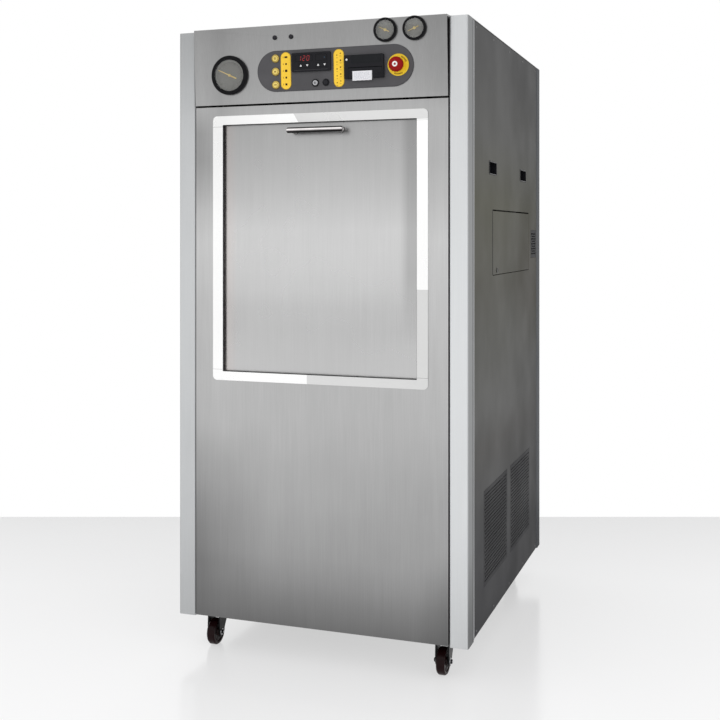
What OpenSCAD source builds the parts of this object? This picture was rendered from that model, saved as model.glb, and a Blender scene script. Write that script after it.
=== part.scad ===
// Floor-standing steam steriliser with a vertically sliding chamber door.
// Millimetres, +Z up, the front faces -Y.  The modules are written from the
// front plane of the cabinet (Y = 0) and the floor (Z = 0); place() then moves
// them so that the origin is at the bottom centre of the whole machine.

/* [Cabinet] */
// Width over the corner columns
body_w = 866; // [846:2:906]
// Depth from the front plane to the back panel
body_d = 1070; // [1060:2:1110]
// Height of the cabinet above its castors
body_h = 1700; // [1690:2:1720]
// Height of the castors, floor to top plate
castor_h = 100; // [98:1:106]
// Face width of a corner column
column_w = 53; // [48:1:58]
// Side depth of a front column
column_d = 68; // [60:1:70]
// Side depth of a rear column
rear_column_d = 56; // [50:1:60]
// Thickness of the stainless sheet
sheet = 2; // [1.5:0.5:2.5]

/* [Control fascia] */
// Height of the sloping fascia
fascia_h = 218; // [216:1:220]
// Forward lean of the fascia, degrees
fascia_tilt = 2.8; // [0:0.1:4]
// How far the lower edge of the fascia stands proud of the columns
fascia_proud = 3; // [2:0.5:5]
// Width of the dark control plate
plate_w = 462; // [458:1:466]
// Height of the dark control plate
plate_h = 115; // [112:1:118]
// Diameter of the jacket pressure gauge
large_gauge_d = 112; // [106:1:116]
// Diameter of the two small gauges
small_gauge_d = 66; // [60:1:68]
// Diameter of the yellow push buttons
button_d = 20; // [16:1:22]
// Diameter of the emergency stop's yellow disc
estop_disc_d = 60; // [54:1:62]
// Diameter of the emergency stop's red head
estop_head_d = 40; // [36:1:42]

/* [Door] */
// Clear width inside the door trim
aperture_w = 582; // [576:2:584]
// Clear height inside the door trim
aperture_h = 709; // [704:1:712]
// Height of the aperture's lower edge above the floor
aperture_z = 814; // [812:1:816]
// Face width of the door trim
trim_w = 31; // [28:1:31]
// How far the door slides down to open
door_travel = 655; // [600:5:655]
// Length of the door handle's bar
handle_w = 166; // [140:2:180]

/* [Chamber] */
// Inside width of the chamber
chamber_w = 480; // [440:5:480]
// Inside height of the chamber
chamber_h = 580; // [540:5:580]
// Inside depth of the chamber
chamber_d = 760; // [700:10:780]
// Wall of the chamber
chamber_wall = 8; // [6:1:8]

/* [Castors] */
// Diameter of a castor wheel
wheel_d = 75; // [70:1:75]
// Width of a castor wheel
wheel_w = 24; // [20:1:26]
// Distance of a castor's pivot from the cabinet's mid plane
castor_x = 347; // [330:1:350]
// Distance of a castor's pivot from the front or back plane
castor_y = 93; // [90:1:100]
// Trail of a wheel behind its pivot
castor_trail = 28; // [24:1:30]

/* [Hidden] */
$fn = 48;

steel = [0.62, 0.62, 0.61];
dark_steel = [0.40, 0.40, 0.39];
silver = [0.82, 0.83, 0.83];
black = [0.06, 0.06, 0.07];
charcoal = [0.33, 0.33, 0.34];
yellow = [0.95, 0.76, 0.18];
white = [0.93, 0.92, 0.91];
maroon = [0.35, 0.07, 0.09];

// Heights above the floor and offsets from the mid plane
z_low = castor_h;
z_top = z_low + body_h;
column_x = body_w / 2 - column_w;
column_top = z_top - 5;
skin_x = body_w / 2 - 2;
panel_half = column_x - 2;
fascia_z = z_top - fascia_h - 2;
fascia_depth = 52;
front_gap = 5;
panel_return = 12;
ring = 40;
ring_top = z_low + ring;
ring_y = 16;
aperture_mid = aperture_z + aperture_h / 2;

// Depths behind the front plane
door_y = 10;
door_t = 30;
door_back = door_y + door_t;
gasket_y = door_back + 1;
flange_y = gasket_y + 3;
flange_t = 24;
chamber_back = flange_y + chamber_d;

// The door and its chain drive
door_w = aperture_w + 18;
door_h = aperture_h + 12;
door_z = aperture_z - 6;
door_top = door_z + door_h;
handle_z = door_top - 29;
handle_d = 16;
handle_out = 28;
shoe_h = 60;
rail_x = door_w / 2 + 4;
rail_out = rail_x + 27;
rail_low = door_z - door_travel - 8;
rail_top = door_top + 16;
sprocket_r = 31;
sprocket_teeth = 16;
pitch_r = 34.5;
chain_x = 340;
chain_w = 8;
shaft_y = 95;
drive_z = z_top - 200;
idler_z = ring_top + 48;
drive_r = 12;
beam_z = drive_z - 78;
idler_r = 10;
weight_h = 500;
weight_z = 205;

// Controls, as distances across the fascia and up its slope
plate_x = 53;
plate_up = 88.5;
plate_t = 3;
strip_x = [-90, 69];
strip_w = 31.5;
strip_l = 105;
button_x = -121;
button_up = [50.5, 87.5, 124.5];
display_x = -12;
display_up = 109.5;
display_w = 116;
display_h = 53;
display_out = 9;
rocker_x = [-32.5, 19.5];
rocker_up = 100;
rocker_w = 32;
rocker_h = 12;
key_x = -1.5;
reset_x = 30;
key_up = 51;
key_r = 7.5;
reset_r = 7;
printer_x = 144;
printer_up = 89;
printer_w = 114;
printer_h = 65;
printer_out = 11;
bay_x = 148;
bay_w = 98;
bay_h = 30;
bay_up = 72.5;
door_pin_r = 2.6;
door_pin_up = bay_up + bay_h / 2 - 0.6 - door_pin_r;
feed_x = 94.5;
feed_up = 109.5;
feed_r = 3.5;
estop_x = 241;
estop_up = 89;
estop_len = 36;
estop_flat_r = 13;
stem_r = 11;
large_gauge_at = [-265, 84];
small_gauge_at = [[205, 185.5], [288, 185.5]];
lamp_at = [[-123.5, 183.5], [-74, 183.5]];
lamp_d = 13;

// Side panel features, from the front plane and the floor
side_front = column_d + 1;
side_back = body_d - rear_column_d - 1;
grip_y = [311, 769];
grip_z = 1402;
grip_w = 100;
grip_h = 40;
vent_y = [352, 720];
vent_z = 344;
vent_w = 320;
vent_h = 272;
flap_y = 308;
flap_w = 560;
flap_z = 1087;
flap_h = 194;
hinge_z = flap_z + flap_h - 7;
lock_y = 369;
lock_z = 1101;
louvre_y = 955;
louvre_z = 1175;
louvre_w = 100;
louvre_h = 95;

// Vessel and services
vessel_w = chamber_w + 2 * chamber_wall;
vessel_h = chamber_h + 2 * chamber_wall;
jacket_w = 570;
jacket_h = 670;
cradle_top = aperture_mid - jacket_h / 2 - 0.5;
jacket_back = chamber_back + 55;
drain_y = 215;
drain_r = 14;
rear_out = 30;
inlet_at = [-250, 260];
drain_at = [-120, 200];
exhaust_at = [60, 240];
air_at = [190, 240];
gland_at = [300, 330];
inlet_r = 13;
outlet_r = 20;
exhaust_r = 17;
air_r = 8;

// The foremost point is the emergency stop's face, the rearmost the pipe stubs
front_reach = fascia_proud + (estop_up + estop_flat_r) * sin(fascia_tilt)
    + estop_len * cos(fascia_tilt);
mid_y = (body_d + rear_out - front_reach) / 2;

module place() {
    translate([0, -mid_y, 0]) children();
}

// Local frame of the fascia: X across, Z up its slope, -Y outwards
module on_fascia(x, up, out = 0) {
    place()
        translate([0, -fascia_proud, fascia_z])
            rotate([fascia_tilt, 0, 0])
                translate([x, -out, up]) children();
}

// Box given by its two corners
module block(low, high) {
    translate(low) cube(high - low);
}

module mirror_x() {
    children();
    mirror([1, 0, 0]) children();
}

module rounded(w, h, r) {
    square([w - 2 * r, h], center = true);
    square([w, h - 2 * r], center = true);
    for (x = [-1, 1], y = [-1, 1])
        translate([x * (w / 2 - r), y * (h / 2 - r)]) circle(r);
}

// Upright plate in XZ, front face on Y = 0, thickness towards +Y
module upright(w, h, t, r) {
    translate([0, t, 0]) rotate([90, 0, 0]) linear_extrude(t) rounded(w, h, r);
}

// Round part with its axis along Y, from y0 back to y1
module round_y(r, y0, y1) {
    translate([0, y1, 0]) rotate([90, 0, 0]) cylinder(r = r, h = y1 - y0);
}

// The same along X, from x0 to x1
module round_x(r, x0, x1) {
    translate([x0, 0, 0]) rotate([0, 90, 0]) cylinder(r = r, h = x1 - x0);
}

// Turned part about the outward axis of the fascia; points are [radius, out]
module turned(points) {
    rotate([90, 0, 0]) rotate_extrude() polygon(points);
}

/* ---- structure ---- */

module chassis() {
    color(dark_steel) place() {
        difference() {
            block([-column_x, ring_y, z_low], [column_x, body_d - 6, ring_top]);
            block([-column_x + ring, ring_y + ring, z_low + sheet],
                [column_x - ring, body_d - 6 - ring, ring_top + 1]);
            for (y = [ring_y + 3, body_d - 6 - ring + 3])
                block([-column_x - 1, y, z_low + 3], [column_x + 1, y + ring - 6, ring_top - 3]);
        }
        block([-skin_x + 3, column_d + 4, z_low], [skin_x - 3, side_back - 2, z_low + sheet]);
        for (x = [-255, 225], y = [150, 760])
            block([x, y, ring_top - 1], [x + 30, y + 30, cradle_top - 29]);
        for (y = [150, 760])
            block([-255, y, cradle_top - 30], [255, y + 30, cradle_top]);
    }
}

module column_section(depth) {
    difference() {
        translate([column_w / 2, depth / 2]) rounded(column_w, depth, 7);
        translate([column_w / 2, depth / 2]) rounded(column_w - 6, depth - 6, 4);
    }
}

module column(depth) {
    translate([column_x, 0, z_low]) linear_extrude(column_top - z_low - 3) column_section(depth);
    translate([column_x + column_w / 2, depth / 2, column_top - 3.5])
        linear_extrude(3.5) rounded(column_w, depth, 7);
}

module corner_columns() {
    color(silver) place() mirror_x() {
        column(column_d);
        translate([0, body_d, 0]) mirror([0, 1, 0]) column(rear_column_d);
    }
}

module side_sheet() {
    difference() {
        union() {
            block([skin_x - sheet, side_front, z_low + 3], [skin_x, side_back, column_top - 2]);
            for (y = [side_front, side_back - sheet])
                block([skin_x - 20, y, z_low + 3], [skin_x, y + sheet, column_top - 2]);
        }
        for (y = grip_y)
            block([skin_x - 5, y - grip_w / 2, grip_z - grip_h / 2],
                [skin_x + 1, y + grip_w / 2, grip_z + grip_h / 2]);
        for (y = vent_y)
            block([skin_x - 5, y - vent_w / 2, vent_z - vent_h / 2],
                [skin_x + 1, y + vent_w / 2, vent_z + vent_h / 2]);
    }
}

module side_panel_left() {
    color(dark_steel) place() mirror([1, 0, 0]) side_sheet();
}

module side_panel_right() {
    color(dark_steel) place() difference() {
        side_sheet();
        block([skin_x - 5, flap_y, flap_z], [skin_x + 1, flap_y + flap_w, flap_z + flap_h]);
        block([skin_x - 5, louvre_y - louvre_w / 2, louvre_z - louvre_h / 2],
            [skin_x + 1, louvre_y + louvre_w / 2, louvre_z + louvre_h / 2]);
    }
}

module top_panel() {
    color(steel) place() {
        block([-skin_x, column_d + 1, column_top], [skin_x, body_d - 2, column_top + sheet]);
        block([-panel_half, fascia_depth - 12, column_top],
            [panel_half, column_d + 2, column_top + sheet]);
        for (y = [column_d + 1, body_d - 2 - sheet])
            block([-panel_half, y, column_top - 20], [panel_half, y + sheet, column_top + 1]);
    }
}

module service_hole(at, r) {
    translate([at[0], 0, at[1]]) round_y(r, body_d - 10, body_d + 1);
}

module rear_panel() {
    color(steel) place() difference() {
        block([-panel_half, body_d - sheet - 2, z_low + 3],
            [panel_half, body_d - 2, column_top - 22]);
        service_hole(inlet_at, inlet_r + 1);
        service_hole(drain_at, outlet_r + 1);
        service_hole(exhaust_at, exhaust_r + 1);
        service_hole(air_at, air_r + 1);
        service_hole(gland_at, 13);
        for (row = [0 : 7])
            block([-260, body_d - 10, 1500 + row * 26], [-60, body_d + 1, 1510 + row * 26]);
    }
}

module front_panel() {
    color(steel) place() {
        difference() {
            union() {
                block([-panel_half, 0, z_low + 3], [panel_half, sheet, fascia_z - front_gap]);
                mirror_x()
                    block([panel_half - sheet, 0, z_low + 3],
                        [panel_half, panel_return, fascia_z - front_gap]);
                block([-panel_half, 0, fascia_z - front_gap - sheet],
                    [panel_half, panel_return, fascia_z - front_gap]);
            }
            translate([0, -1, aperture_mid]) upright(aperture_w + 54, aperture_h + 44, 4, 10);
        }
    }
}

module door_trim() {
    color(white) place() translate([0, 0, aperture_mid]) difference() {
        union() {
            translate([0, -3, 0])
                upright(aperture_w + 2 * trim_w, aperture_h + 51, 3, 13);
            upright(aperture_w + 7, aperture_h + 7, door_y - 3, 8);
        }
        translate([0, -4, 0]) upright(aperture_w, aperture_h, 20, 2);
    }
}

module vent_slats(w, h, bars, bar) {
    // Framed grille in the YZ plane, centred, 3 thick
    pitch = (h - 12) / bars;
    difference() {
        cube([3, w - 0.8, h - 0.8], center = true);
        cube([5, w - 12, h - 12], center = true);
    }
    for (row = [1 : bars - 1])
        translate([0, 0, -h / 2 + 6 + row * pitch]) cube([2, w - 11, bar], center = true);
    for (column = [-1 : 1])
        translate([0, column * w / 4, 0]) cube([2, bar, h - 11], center = true);
}

module vent_grilles() {
    color(dark_steel) place() {
        mirror_x()
            for (y = vent_y)
                translate([skin_x - 1.5, y, vent_z]) vent_slats(vent_w, vent_h, 18, 4);
        translate([skin_x - 1.5, louvre_y, louvre_z]) vent_slats(louvre_w, louvre_h, 6, 5);
    }
}

module grip_cups() {
    color(black) place() mirror_x() for (y = grip_y)
        translate([skin_x - 30, y, grip_z]) difference() {
            translate([0, -grip_w / 2 + 0.5, -grip_h / 2 + 0.5])
                cube([31, grip_w - 1, grip_h - 1]);
            translate([3, -grip_w / 2 + 3.5, -grip_h / 2 + 3.5])
                cube([40, grip_w - 7, grip_h - 7]);
        }
}

module access_flap() {
    color(dark_steel) place() difference() {
        union() {
            block([skin_x - sheet, flap_y + 2, flap_z + 2],
                [skin_x, flap_y + flap_w - 2, flap_z + flap_h - 4]);
            for (y = [flap_y + 40, flap_y + flap_w - 80])
                translate([skin_x - 5.6, y, hinge_z]) rotate([-90, 0, 0]) cylinder(r = 4, h = 40);
        }
        translate([0, lock_y, lock_z]) round_x(8.05, skin_x - 5, skin_x + 1);
    }
}

module flap_lock() {
    color(silver) place() translate([0, lock_y, lock_z]) difference() {
        union() {
            round_x(8, skin_x - 16, skin_x + 0.8);
            block([skin_x - 16, 0, -6], [skin_x - 13, 24, 6]);
        }
        block([skin_x - 1, -5, -0.8], [skin_x + 2, 5, 0.8]);
    }
}

/* ---- control fascia ---- */

module control_fascia() {
    color(steel) on_fascia(0, 0) difference() {
        union() {
            block([-panel_half, 0, 0], [panel_half, sheet, fascia_h]);
            mirror_x() block([panel_half - sheet, 0, 0], [panel_half, fascia_depth, fascia_h]);
            block([-panel_half, 0, fascia_h - sheet], [panel_half, fascia_depth, fascia_h]);
            block([-panel_half, 0, 0], [panel_half, 12, sheet]);
        }
        translate([plate_x, -1, plate_up]) upright(plate_w - 14, plate_h - 14, 6, (plate_h - 15) / 2);
        translate([large_gauge_at[0], 0, large_gauge_at[1]])
            round_y(large_gauge_d / 2 - 5.5, -1, 5);
        for (at = small_gauge_at)
            translate([at[0], 0, at[1]]) round_y(small_gauge_d / 2 - 3.5, -1, 5);
        for (at = lamp_at)
            translate([at[0], 0, at[1]]) round_y(5.2, -1, 5);
    }
}

module control_plate() {
    color(charcoal) on_fascia(0, 0) difference() {
        translate([plate_x, -plate_t, plate_up]) upright(plate_w, plate_h, plate_t, plate_h / 2 - 0.05);
        for (up = button_up)
            translate([button_x, 0, up]) round_y(button_d / 2 + 0.4, -5, 1);
        translate([display_x, -5, display_up]) upright(display_w - 12, display_h - 9, 9, 1);
        translate([printer_x, -5, printer_up]) upright(printer_w - 10, printer_h - 9, 9, 1);
        translate([key_x, 0, key_up]) round_y(key_r + 1.5, -5, 1);
        translate([reset_x, 0, key_up]) round_y(reset_r + 1.5, -5, 1);
        translate([estop_x, 0, estop_up]) round_y(stem_r + 4, -5, 1);
    }
}

module indicator_strips() {
    color(yellow) for (x = strip_x)
        on_fascia(x, plate_up, plate_t + 1.2) upright(strip_w, strip_l, 1.2, strip_w / 2 - 0.05);
}

module push_button(up) {
    color(yellow) on_fascia(button_x, up)
        turned([[0, -22], [button_d / 2 - 3, -22], [button_d / 2 - 3, -6], [button_d / 2, -6],
            [button_d / 2, 7], [button_d / 2 - 1.2, 8.2], [0, 8.6]]);
}

module start_button() {
    push_button(button_up[2]);
}

module stop_button() {
    push_button(button_up[1]);
}

module door_button() {
    push_button(button_up[0]);
}

module display_unit() {
    color(black) on_fascia(0, 0) difference() {
        union() {
            translate([display_x, -display_out, display_up])
                upright(display_w, display_h, display_out - plate_t, 3);
            block([display_x - display_w / 2 + 7, -plate_t - 0.5, display_up - 21],
                [display_x + display_w / 2 - 7, 45, display_up + 21]);
        }
        translate([display_x, -display_out - 1, display_up + 11])
            upright(display_w - 14, 21, 2, 1.5);
        for (x = rocker_x)
            block([x - rocker_w / 2 - 0.5, -display_out - 1, rocker_up - rocker_h / 2 - 0.5],
                [x + rocker_w / 2 + 0.5, -display_out + 4, rocker_up + rocker_h / 2 + 0.5]);
    }
}

module display_rocker(x) {
    color(black) on_fascia(x, rocker_up, display_out) {
        block([-rocker_w / 2, -0.4, -rocker_h / 2], [rocker_w / 2, 1.8, rocker_h / 2]);
        translate([0, 2, -rocker_h / 2]) cylinder(r = 1.2, h = rocker_h);
    }
}

module display_rocker_left() {
    display_rocker(rocker_x[0]);
}

module display_rocker_right() {
    display_rocker(rocker_x[1]);
}

module switch_bezels() {
    color(black) {
        on_fascia(key_x, key_up)
            turned([[key_r + 0.06, -8], [8.9, -8], [8.9, plate_t + 0.1],
                [10.5, plate_t + 0.1], [10.5, 5.4], [9.6, 6.2], [key_r + 0.06, 6.2]]);
        on_fascia(reset_x, key_up)
            turned([[reset_r + 0.4, -8], [8.4, -8], [8.4, plate_t + 0.1], [10, plate_t + 0.1],
                [10, 4.6], [9.2, 5.4], [reset_r + 0.4, 5.4]]);
    }
}

module key_barrel() {
    color(silver) on_fascia(key_x, key_up) difference() {
        turned([[0, -24], [key_r, -24], [key_r, 6.4], [key_r - 0.8, 7], [0, 7]]);
        block([-4, -8, -0.9], [4, -3, 0.9]);
    }
}

module reset_button() {
    color(charcoal) on_fascia(reset_x, key_up)
        turned([[0, -16], [reset_r, -16], [reset_r, 7.4], [reset_r - 1, 8.4], [0, 8.6]]);
}

module printer_body() {
    color(black) on_fascia(0, 0) difference() {
        union() {
            translate([printer_x, -printer_out, printer_up])
                upright(printer_w, printer_h, printer_out - plate_t, 3);
            block([printer_x - printer_w / 2 + 6, -plate_t - 0.5, printer_up - 27.5],
                [printer_x + printer_w / 2 - 6, 48, printer_up + 27.5]);
        }
        block([bay_x - bay_w / 2, -printer_out - 1, bay_up - bay_h / 2],
            [bay_x + bay_w / 2, 0, bay_up + bay_h / 2]);
        block([bay_x - bay_w / 2 + 3, -5, bay_up - bay_h / 2 + 3],
            [bay_x + bay_w / 2 - 3, 40, bay_up + bay_h / 2 + 12]);
        translate([feed_x, 0, feed_up]) round_y(feed_r, -printer_out - 1, -printer_out + 1);
    }
}

module printer_door() {
    low = bay_up - bay_h / 2 + 0.6;
    color(black) on_fascia(0, 0) difference() {
        union() {
            block([bay_x - bay_w / 2 + 0.5, -printer_out, low],
                [bay_x + bay_w / 2 - 0.5, -printer_out + 3, door_pin_up]);
            translate([bay_x - bay_w / 2 + 0.5, -printer_out + door_pin_r, door_pin_up])
                rotate([0, 90, 0]) cylinder(r = door_pin_r, h = bay_w - 1);
        }
        block([110, -printer_out - 1, 76], [169, -printer_out + 4, 78.2]);
    }
}

module paper_strip() {
    color(white) on_fascia(0, 0) {
        block([111, -printer_out - 1.6, 76.6], [168, -printer_out + 14, 77.1]);
        block([111, -printer_out - 1.6, 51], [168, -printer_out - 1.1, 77.1]);
    }
}

module estop_base() {
    color(yellow) on_fascia(estop_x, estop_up)
        turned([[stem_r + 0.06, -18], [stem_r + 3.6, -18], [stem_r + 3.6, plate_t + 0.1],
            [estop_disc_d / 2, plate_t + 0.1], [estop_disc_d / 2, 5], [estop_disc_d / 2 - 1, 6],
            [17, 6], [16.2, 13.6], [stem_r + 0.06, 13.6]]);
}

module estop_plunger() {
    color(black) on_fascia(estop_x, estop_up)
        turned([[0, -22], [stem_r, -22], [stem_r, 17.4], [7, 17.4], [7, 25], [0, 25]]);
}

module estop_head() {
    color([0.78, 0.08, 0.08]) on_fascia(estop_x, estop_up)
        turned([[7.06, 17.7], [estop_head_d / 2 - 3, 17.7], [estop_head_d / 2, 21],
            [estop_head_d / 2, 28], [estop_head_d / 2 - 1.2, 31.5], [estop_head_d / 2 - 3.6, 34.3],
            [estop_flat_r, estop_len], [0, estop_len], [0, 25.6], [7.06, 25.6]]);
}

// Gauge seen as a turned case: flange, dial recess and body behind the fascia
module gauge_case(d) {
    turned([[0, -34], [d / 2 - 6, -34], [d / 2 - 6, 0.1], [d / 2, 0.1], [d / 2, 7.5],
        [d / 2 - 2, 10], [d / 2 * 0.82, 10], [d / 2 * 0.80, 8.6], [d / 2 * 0.80, 3],
        [1.5, 3], [1.5, 6.4], [0, 6.4]]);
}

module gauge_cases() {
    color(black) {
        on_fascia(large_gauge_at[0], large_gauge_at[1]) gauge_case(large_gauge_d);
        for (at = small_gauge_at)
            on_fascia(at[0], at[1]) gauge_case(small_gauge_d);
    }
}

// Pointer along an angle measured anticlockwise from the fascia's +X
module needle(at, length, width, angle) {
    color(yellow) on_fascia(at[0], at[1]) rotate([0, -angle, 0]) difference() {
        union() {
            round_y(4, -5.4, -4);
            translate([0, -4, 0]) rotate([90, 0, 0])
                linear_extrude(0.9)
                    polygon([[-length * 0.62, -width / 2], [length, -width / 5],
                        [length, width / 5], [-length * 0.62, width / 2]]);
        }
        round_y(1.56, -7, -3);
    }
}

module jacket_needle() {
    needle(large_gauge_at, 38, 4.2, 155);
}

module chamber_needle() {
    needle(small_gauge_at[0], 20, 2.8, 154);
}

module steam_needle() {
    needle(small_gauge_at[1], 20, 2.8, 202);
}

module gauge_glasses() {
    color([0.85, 0.90, 0.92, 0.5]) {
        on_fascia(large_gauge_at[0], large_gauge_at[1])
            round_y(large_gauge_d / 2 * 0.80 - 0.2, -8.4, -7.2);
        for (at = small_gauge_at)
            on_fascia(at[0], at[1]) round_y(small_gauge_d / 2 * 0.80 - 0.2, -8.4, -7.2);
    }
}

module indicator_lamps() {
    color(charcoal) for (at = lamp_at)
        on_fascia(at[0], at[1])
            turned([[0, -14], [5, -14], [5, 0.1], [lamp_d / 2, 0.1], [lamp_d / 2, 2.5],
                [lamp_d / 2 - 1.5, 4], [0, 4.6]]);
}

/* ---- castors ---- */

module castor_spot(right, rear) {
    place() translate([right ? castor_x : -castor_x, rear ? body_d - castor_y + 20 : castor_y, 0])
        children();
}

module castor_plate() {
    translate([0, 0, castor_h - 2]) cube([66, 84, 4], center = true);
    difference() {
        translate([0, 0, castor_h - 9.5]) cylinder(r = 24, h = 6);
        translate([0, 0, castor_h - 12]) cylinder(r = 15, h = 6);
    }
    translate([0, 0, castor_h - 17]) cylinder(r = 6, h = 15);
    translate([0, 0, castor_h - 23]) cylinder(r = 10, h = 6.2);
    for (x = [-25, 25], y = [-34, 34])
        translate([x, y, castor_h - 8]) cylinder(r = 6, h = 4.5, $fn = 6);
}

module castor_plates() {
    color(black) for (right = [false, true], rear = [false, true])
        castor_spot(right, rear) castor_plate();
}

module castor_fork() {
    axle_z = wheel_d / 2;
    crown_z = castor_h - 16;
    color(black) {
        difference() {
            union() {
                translate([0, 0, crown_z]) cylinder(r = 25, h = 6);
                translate([-20, -40, crown_z]) cube([40, 52, 5]);
            }
            translate([0, 0, crown_z - 1]) cylinder(r = 6.06, h = 9);
        }
        for (side = [-1, 1])
            translate([side * 18 - 2, 0, 0]) rotate([90, 0, 90]) linear_extrude(4) {
                polygon([[-40, crown_z + 1], [12, crown_z + 1], [4, crown_z - 16],
                    [-castor_trail + 12, axle_z - 3], [-castor_trail - 12, axle_z - 3],
                    [-42, axle_z + 18]]);
                translate([-castor_trail, axle_z]) circle(12.4);
            }
        translate([0, -castor_trail, axle_z]) round_x(5, -19, 19);
        for (side = [-1, 1])
            translate([side * 22.5, -castor_trail, axle_z]) rotate([0, 90, 0])
                cylinder(r = 6.5, h = 5.2, center = true, $fn = 6);
    }
}

module castor_wheel() {
    w = wheel_w / 2;
    r = wheel_d / 2;
    color(maroon) translate([0, -castor_trail, r]) rotate([0, 90, 0])
        rotate_extrude(convexity = 4)
            polygon([[5.06, -w - 2], [11, -w - 2], [13, -w + 3], [r - 10, -w + 3], [r - 8, -w],
                [r - 3, -w], [r, -w + 4], [r, w - 4], [r - 3, w], [r - 8, w], [r - 10, w - 3],
                [13, w - 3], [11, w + 2], [5.06, w + 2]]);
}

module castor_fork_fl() {
    castor_spot(false, false) castor_fork();
}

module castor_fork_fr() {
    castor_spot(true, false) castor_fork();
}

module castor_fork_rl() {
    castor_spot(false, true) castor_fork();
}

module castor_fork_rr() {
    castor_spot(true, true) castor_fork();
}

module castor_wheel_fl() {
    castor_spot(false, false) castor_wheel();
}

module castor_wheel_fr() {
    castor_spot(true, false) castor_wheel();
}

module castor_wheel_rl() {
    castor_spot(false, true) castor_wheel();
}

module castor_wheel_rr() {
    castor_spot(true, true) castor_wheel();
}

/* ---- door and its drive ---- */

module sliding_door() {
    cell = (door_w - 6 * 14) / 5;
    color(steel) place() {
        translate([0, 0, door_z]) linear_extrude(door_h) difference() {
            translate([-door_w / 2, door_y]) square([door_w, door_t]);
            for (i = [0 : 4])
                translate([-door_w / 2 + 14 + i * (cell + 14), door_y + 3]) square([cell, 13]);
        }
        mirror_x() {
            for (z = [door_z + 30, door_top - 30 - shoe_h])
                block([door_w / 2 - 1, door_y + 8.5, z], [rail_out - 4, door_y + 25.5, z + shoe_h]);
            block([284, door_back - 1, door_top - 110], [299, 67, door_top - 50]);
            block([284, 59, door_top - 110], [chain_x - chain_w / 2 - 1, 67, door_top - 50]);
        }
    }
}

module door_handle() {
    y = door_y - handle_out;
    post = handle_w / 2 - 14;
    color(silver) place() translate([0, 0, handle_z]) {
        translate([0, y, 0]) {
            round_x(handle_d / 2, -post, post);
            mirror_x() translate([post, 0, 0]) sphere(handle_d / 2);
        }
        mirror_x() translate([post, 0, 0]) round_y(handle_d / 2, y, door_y);
        mirror_x() translate([post, 0, 0]) round_y(9, door_y - 3, door_y);
        mirror_x() translate([0, y, 0]) {
            round_x(handle_d / 2, post - 1, handle_w / 2 - 2);
            round_x(handle_d / 2 - 1.5, post - 1, handle_w / 2);
        }
    }
}

module door_rail() {
    difference() {
        block([rail_x, door_y + 5, rail_low], [rail_out, door_y + 29, rail_top]);
        block([rail_x - 1, door_y + 8, rail_low - 1], [rail_out - 3, door_y + 26, rail_top + 1]);
    }
    for (z = [rail_top - 60, rail_low])
        block([rail_out - 1, door_y + 5, z], [column_x, door_y + 29, z + 30]);
    bearing_arm(drive_z, drive_r);
    bearing_arm(idler_z, idler_r);
}

// Plate outboard of the chain that carries the end of a cross shaft
module bearing_arm(z, r) {
    plate_low = z == drive_z ? rail_top - 60 : rail_low;
    difference() {
        union() {
            block([352, door_y + 20, min(plate_low, z - 40)], [360, door_y + 40, z + 40]);
            block([352, door_y + 20, z == drive_z ? beam_z : z - 40], [360, shaft_y + 30, z + 40]);
            translate([0, shaft_y, z]) round_x(22, 349, 366);
        }
        translate([0, shaft_y, z]) round_x(r + 0.06, 340, 380);
    }
}

module door_rails() {
    color(dark_steel) place() {
        mirror_x() door_rail();
        block([-353, shaft_y - 20, beam_z], [353, shaft_y + 20, beam_z + 20]);
    }
}

module gear_motor() {
    color([0.20, 0.30, 0.40]) place() difference() {
        union() {
            block([-45, 60, drive_z - 50], [45, 165, drive_z + 50]);
            translate([0, shaft_y, drive_z]) round_x(28, -55, 55);
            translate([0, 0, drive_z]) round_y(48, 164, 330);
            for (i = [0 : 7])
                translate([0, 0, drive_z]) round_y(54, 180 + i * 16, 186 + i * 16);
            translate([0, 0, drive_z]) round_y(50, 318, 336);
            block([-30, 190, drive_z + 40], [30, 270, drive_z + 70]);
            block([-60, 60, drive_z - 58], [60, 165, drive_z - 50]);
        }
        translate([0, shaft_y, drive_z]) round_x(drive_r + 0.06, -60, 60);
    }
}

module sprocket() {
    // Toothed disc in the YZ plane, centred on the X axis
    rotate([0, 90, 0]) linear_extrude(6, center = true) {
        circle(sprocket_r - 4);
        for (i = [0 : sprocket_teeth - 1])
            rotate(i * 360 / sprocket_teeth)
                translate([sprocket_r - 4.5, 0])
                    polygon([[-2, -4], [2, -2.8], [4.3, -1], [4.3, 1], [2, 2.8], [-2, 4]]);
    }
}

module cross_shaft(z, r) {
    color(silver) place() translate([0, shaft_y, z]) {
        round_x(r, -368, 368);
        for (side = [-1, 1]) {
            translate([side * chain_x, 0, 0]) sprocket();
            round_x(r + 8, side * (chain_x - 4) - 8, side * (chain_x - 4) + 8);
        }
    }
}

module drive_shaft() {
    cross_shaft(drive_z, drive_r);
}

module idler_shaft() {
    cross_shaft(idler_z, idler_r);
}

// Endless chain as a flat band over both sprockets
module chain_loop() {
    mid = (drive_z + idler_z) / 2;
    span = drive_z - idler_z;
    inner = sprocket_r + 0.5;
    outer = pitch_r + (pitch_r - inner);
    rotate([90, 0, 90]) linear_extrude(chain_w, center = true) difference() {
        union() {
            translate([shaft_y, mid]) square([2 * outer, span], center = true);
            for (z = [idler_z, drive_z])
                translate([shaft_y, z]) circle(outer);
        }
        translate([shaft_y, mid]) square([2 * inner, span], center = true);
        for (z = [idler_z, drive_z])
            translate([shaft_y, z]) circle(inner);
    }
}

module door_chains() {
    color(charcoal) place() for (side = [-1, 1])
        translate([side * chain_x, 0, 0]) chain_loop();
}

module counterweights() {
    color(charcoal) place() mirror_x() {
        block([296, 108, weight_z], [chain_x - chain_w / 2 - 1, 208, weight_z + weight_h]);
    }
}

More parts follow.
